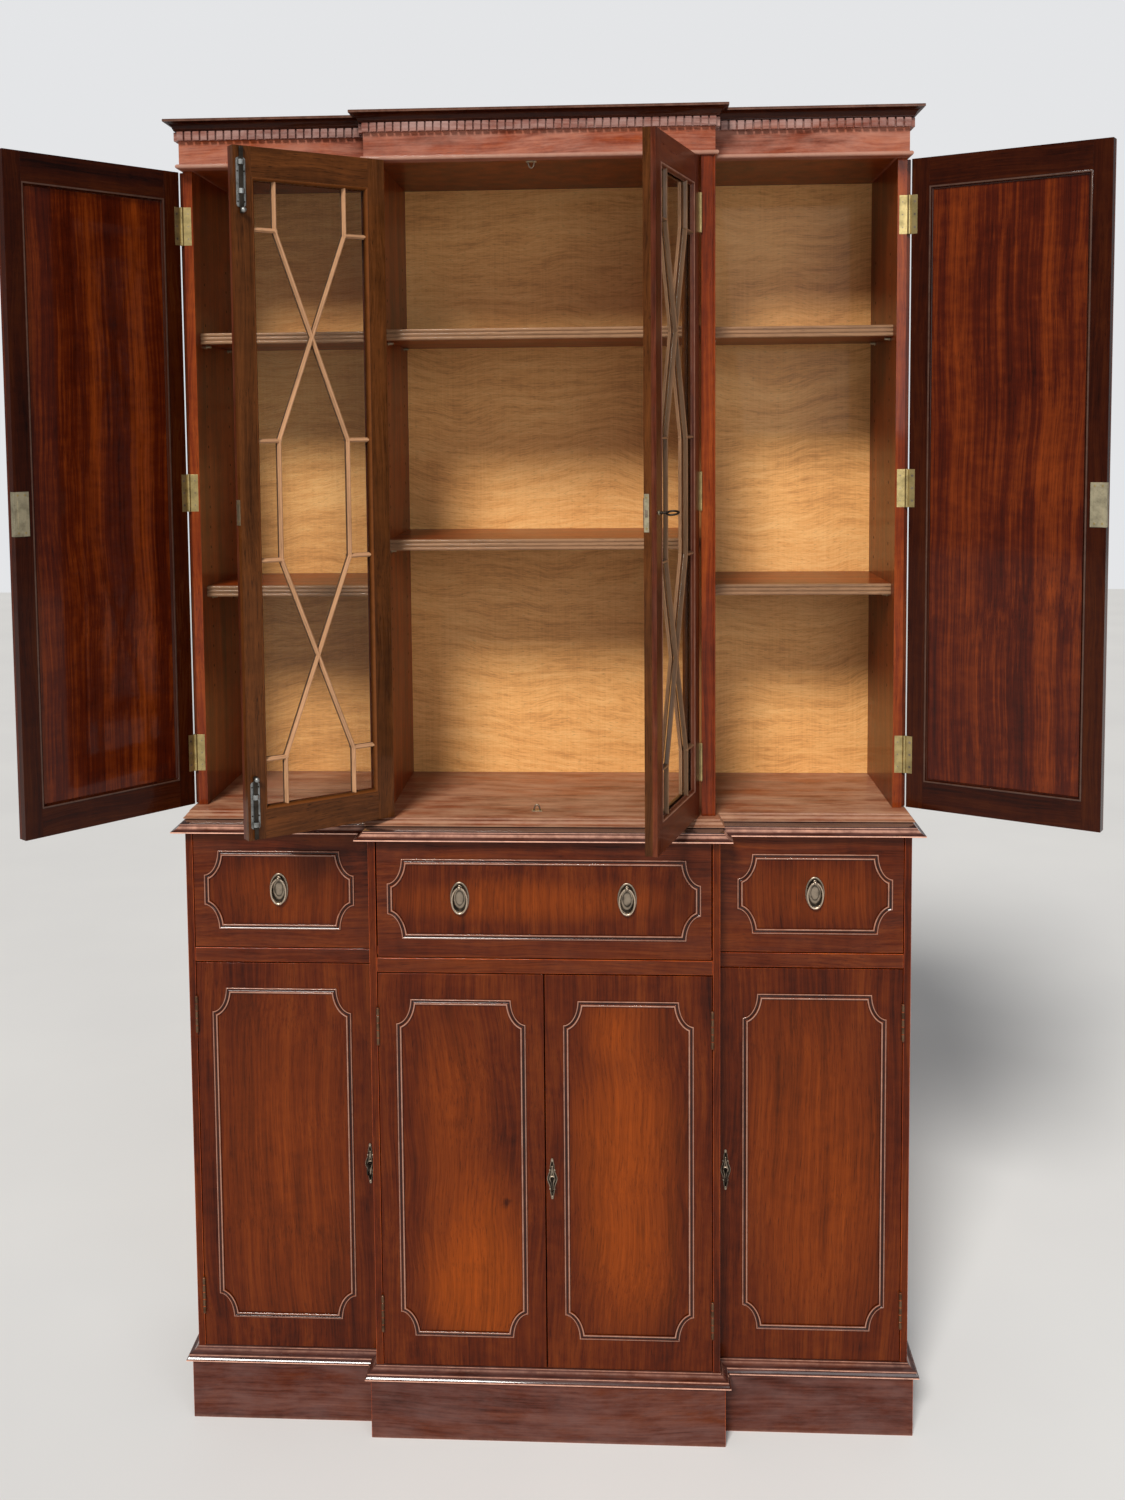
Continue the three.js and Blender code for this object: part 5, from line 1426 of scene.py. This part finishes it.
class StudioSettings(bpy.types.PropertyGroup):
    """Where the photographer stood, in metres and degrees, and how the studio is lit."""

    camera_place: bpy.props.FloatVectorProperty(
        name="Camera place", description="Where the camera stands", subtype="TRANSLATION", size=3,
        default=(0.1159, -2.3982, 1.5575))
    turn: number("Turn", "How far the camera looks to the left of straight ahead", radians(3.13), "ROTATION")
    dip: number("Dip", "How far the camera looks down", radians(4.36), "ROTATION")
    roll: number("Roll", "How far the camera leans", radians(-0.52), "ROTATION")
    focal_pixels: number("Focal length in pixels", "On the photograph's own frame", 1500)
    centre_across: number("Optical centre across", "In the photograph's pixels from the left", 536.8)
    centre_down: number("Optical centre down", "In the photograph's pixels from the top", 543.6)
    key_power: number("Key light", "Strength of the soft light from high at the front left", 3.0)
    key_softness: number("Key softness", "How wide the key light looks", radians(16), "ROTATION")
    fill_power: number("Fill light", "Power of the soft light at the right", 25, "POWER")
    sky: number("Surround", "Strength of the light from all round", 0.24)
    backdrop: number("Backdrop", "Brightness of the pale backdrop itself", 0.8)


frame_width, frame_height = 1125, 1500
middle_of_bookcase = Vector((0, -0.1, 1.1))


def add_camera(studio):
    """A camera whose axes are turned, dipped and rolled, with the lens and shift that put the optical
    centre where the photograph has it."""
    y, p, r = studio.turn, -studio.dip, studio.roll
    ahead = Vector((-sin(y) * cos(p), cos(y) * cos(p), sin(p)))
    right = Vector((cos(y), sin(y), 0))
    up = right.cross(ahead)
    axes = (right * cos(r) + up * sin(r), up * cos(r) - right * sin(r), -ahead, studio.camera_place)
    data = bpy.data.cameras.new("photographer")
    data.sensor_fit = "VERTICAL"
    data.sensor_height = 36.0
    data.lens = data.sensor_height * studio.focal_pixels / frame_height
    data.shift_x = (frame_width / 2 - studio.centre_across) / frame_height
    data.shift_y = (studio.centre_down - frame_height / 2) / frame_height
    data.clip_end = 100
    camera = placed("photographer", data)
    camera.matrix_world = Matrix((*([axis[row] for axis in axes] for row in range(3)), (0, 0, 0, 1)))
    bpy.context.scene.camera = camera


def add_light(name, kind, place, tint, power):
    """A light that shines on the middle of the bookcase."""
    data = bpy.data.lights.new(name, kind)
    data.energy = power
    data.color = tint
    light = placed(name, data)
    light.location = place
    light.rotation_euler = (middle_of_bookcase - Vector(place)).to_track_quat("-Z", "Y").to_euler()
    return data


def add_surround(studio):
    """Pale light from all round, brighter where the camera sees it."""
    world = bpy.data.worlds.new("pale surround")
    bpy.context.scene.world = world
    world.use_nodes = True
    nodes, links = world.node_tree.nodes, world.node_tree.links
    surround = nodes["Background"]
    surround.inputs["Color"].default_value = (0.97, 0.98, 1.0, 1.0)
    level = nodes.new("ShaderNodeMapRange")
    level.inputs["To Min"].default_value = studio.sky
    level.inputs["To Max"].default_value = studio.backdrop
    links.new(nodes.new("ShaderNodeLightPath").outputs["Is Camera Ray"], level.inputs["Value"])
    links.new(level.outputs["Result"], surround.inputs["Strength"])


def add_floor():
    """A wide pale floor, with slow clouds in its tone."""
    paint = Paint("studio_floor")
    cloud = paint.noise(paint.place(), 1.5)
    colour = paint.ramp(cloud, (0.3, (0.80, 0.80, 0.80)), (0.7, (0.84, 0.84, 0.835)))
    reach = 12.0
    mesh = bpy.data.meshes.new("studio_floor")
    corners = [(-reach, -reach, 0), (reach, -reach, 0), (reach, reach, 0), (-reach, reach, 0)]
    mesh.from_pydata(corners, [], [(0, 1, 2, 3)])
    mesh.materials.append(paint.finish(base_color=colour, roughness=0.6, specular_ior_level=0.2))
    ground = placed("studio_floor", mesh)


def build_stage():
    """Camera, a soft key light from high at the left, a fill, the pale surround and the floor."""
    studio = bpy.context.scene.bookcase_studio
    add_camera(studio)
    key = add_light("key", "SUN", (-0.75, -2.9, 3.6), (1.0, 0.97, 0.92), studio.key_power)
    key.angle = studio.key_softness
    fill = add_light("fill", "AREA", (1.5, -3.4, 2.2), (0.96, 0.98, 1.0), studio.fill_power)
    fill.shape = "RECTANGLE"
    fill.size, fill.size_y = 2.0, 1.4
    add_surround(studio)
    bpy.context.scene.view_settings.view_transform = "Standard"
    add_floor()


# Operators, in the order in which they run


class BOOKCASE_OT_stage(bpy.types.Operator):
    """Camera, lights and the pale floor"""

    bl_idname = "bookcase.stage"
    bl_label = "Studio"

    def execute(self, context):
        build_stage()
        return {"FINISHED"}


class BOOKCASE_OT_plinth(bpy.types.Operator):
    """The plinth frame under the cabinet"""

    bl_idname = "bookcase.plinth"
    bl_label = "Plinth"

    def execute(self, context):
        build_plinth()
        return {"FINISHED"}


class BOOKCASE_OT_ledges(bpy.types.Operator):
    """The moulded plinth cap, waist and sill"""

    bl_idname = "bookcase.ledges"
    bl_label = "Ledges"

    def execute(self, context):
        build_ledges()
        return {"FINISHED"}


class BOOKCASE_OT_cornice(bpy.types.Operator):
    """Frieze, teeth and crown moulding"""

    bl_idname = "bookcase.cornice"
    bl_label = "Cornice"

    def execute(self, context):
        build_cornice()
        return {"FINISHED"}


class BOOKCASE_OT_carcass(bpy.types.Operator):
    """The standing boards, rails and pilasters"""

    bl_idname = "bookcase.carcass"
    bl_label = "Carcass"

    def execute(self, context):
        build_carcass()
        build_pilasters()
        return {"FINISHED"}


class BOOKCASE_OT_shelves(bpy.types.Operator):
    """Six shelves with reeded edges"""

    bl_idname = "bookcase.shelves"
    bl_label = "Shelves"

    def execute(self, context):
        build_shelves()
        return {"FINISHED"}


class BOOKCASE_OT_lower_doors(bpy.types.Operator):
    """Four veneered doors with scooped mouldings"""

    bl_idname = "bookcase.lower_doors"
    bl_label = "Lower doors"

    def execute(self, context):
        build_lower_doors()
        return {"FINISHED"}


class BOOKCASE_OT_drawers(bpy.types.Operator):
    """Two side drawers"""

    bl_idname = "bookcase.drawers"
    bl_label = "Drawers"

    def execute(self, context):
        build_drawers()
        return {"FINISHED"}


class BOOKCASE_OT_secretaire(bpy.types.Operator):
    """The fall front and the box behind it"""

    bl_idname = "bookcase.secretaire"
    bl_label = "Secretaire"

    def execute(self, context):
        build_secretaire()
        return {"FINISHED"}


class BOOKCASE_OT_handles(bpy.types.Operator):
    """Oval plates and their hanging bails"""

    bl_idname = "bookcase.handles"
    bl_label = "Handles"

    def execute(self, context):
        build_handles()
        return {"FINISHED"}


class BOOKCASE_OT_escutcheons(bpy.types.Operator):
    """The pierced plates round the keyholes"""

    bl_idname = "bookcase.escutcheons"
    bl_label = "Escutcheons"

    def execute(self, context):
        build_escutcheons()
        return {"FINISHED"}


class BOOKCASE_OT_keys(bpy.types.Operator):
    """Keys of the cupboards and the glazed doors"""

    bl_idname = "bookcase.keys"
    bl_label = "Keys"

    def execute(self, context):
        build_keys()
        return {"FINISHED"}


class BOOKCASE_OT_side_doors(bpy.types.Operator):
    """The two solid upper doors"""

    bl_idname = "bookcase.side_doors"
    bl_label = "Side doors"

    def execute(self, context):
        build_side_doors()
        return {"FINISHED"}


class BOOKCASE_OT_glazed_doors(bpy.types.Operator):
    """The two glazed doors, their panes and locks"""

    bl_idname = "bookcase.glazed_doors"
    bl_label = "Glazed doors"

    def execute(self, context):
        build_glazed_doors()
        return {"FINISHED"}


class BOOKCASE_OT_bolts(bpy.types.Operator):
    """Surface bolts of the left glazed door"""

    bl_idname = "bookcase.bolts"
    bl_label = "Bolts"

    def execute(self, context):
        build_bolts()
        return {"FINISHED"}


class BOOKCASE_OT_carcass_brass(bpy.types.Operator):
    """Hinge leaves, keepers and shelf pins"""

    bl_idname = "bookcase.carcass_brass"
    bl_label = "Carcass brass"

    def execute(self, context):
        build_carcass_brass()
        return {"FINISHED"}


steps = (
    BOOKCASE_OT_stage,
    BOOKCASE_OT_plinth,
    BOOKCASE_OT_ledges,
    BOOKCASE_OT_cornice,
    BOOKCASE_OT_carcass,
    BOOKCASE_OT_shelves,
    BOOKCASE_OT_lower_doors,
    BOOKCASE_OT_drawers,
    BOOKCASE_OT_secretaire,
    BOOKCASE_OT_handles,
    BOOKCASE_OT_escutcheons,
    BOOKCASE_OT_keys,
    BOOKCASE_OT_side_doors,
    BOOKCASE_OT_glazed_doors,
    BOOKCASE_OT_bolts,
    BOOKCASE_OT_carcass_brass,
)


class BOOKCASE_PT_build(bpy.types.Panel):
    """Lists the steps of the bookcase in the order in which they are run"""

    bl_idname = "BOOKCASE_PT_build"
    bl_label = "Bookcase"
    bl_space_type = "VIEW_3D"
    bl_region_type = "UI"
    bl_category = "Bookcase"

    def draw(self, context):
        for made in steps:
            self.layout.operator(made.bl_idname)


settings = {
    "bookcase_sizes": BookcaseSizes,
    "bookcase_colours": BookcaseColours,
    "bookcase_studio": StudioSettings,
}


def register():
    for group in settings.values():
        bpy.utils.register_class(group)
    for name, group in settings.items():
        setattr(bpy.types.Scene, name, bpy.props.PointerProperty(type=group))
    for made in (*steps, BOOKCASE_PT_build):
        bpy.utils.register_class(made)


def unregister():
    for made in (BOOKCASE_PT_build, *reversed(steps)):
        bpy.utils.unregister_class(made)
    for name in settings:
        delattr(bpy.types.Scene, name)
    for group in settings.values():
        bpy.utils.unregister_class(group)


def main():
    register()
    for made in steps:
        operator = made.bl_idname.split(".")[1]
        getattr(bpy.ops.bookcase, operator)()


if __name__ == "__main__":
    main()
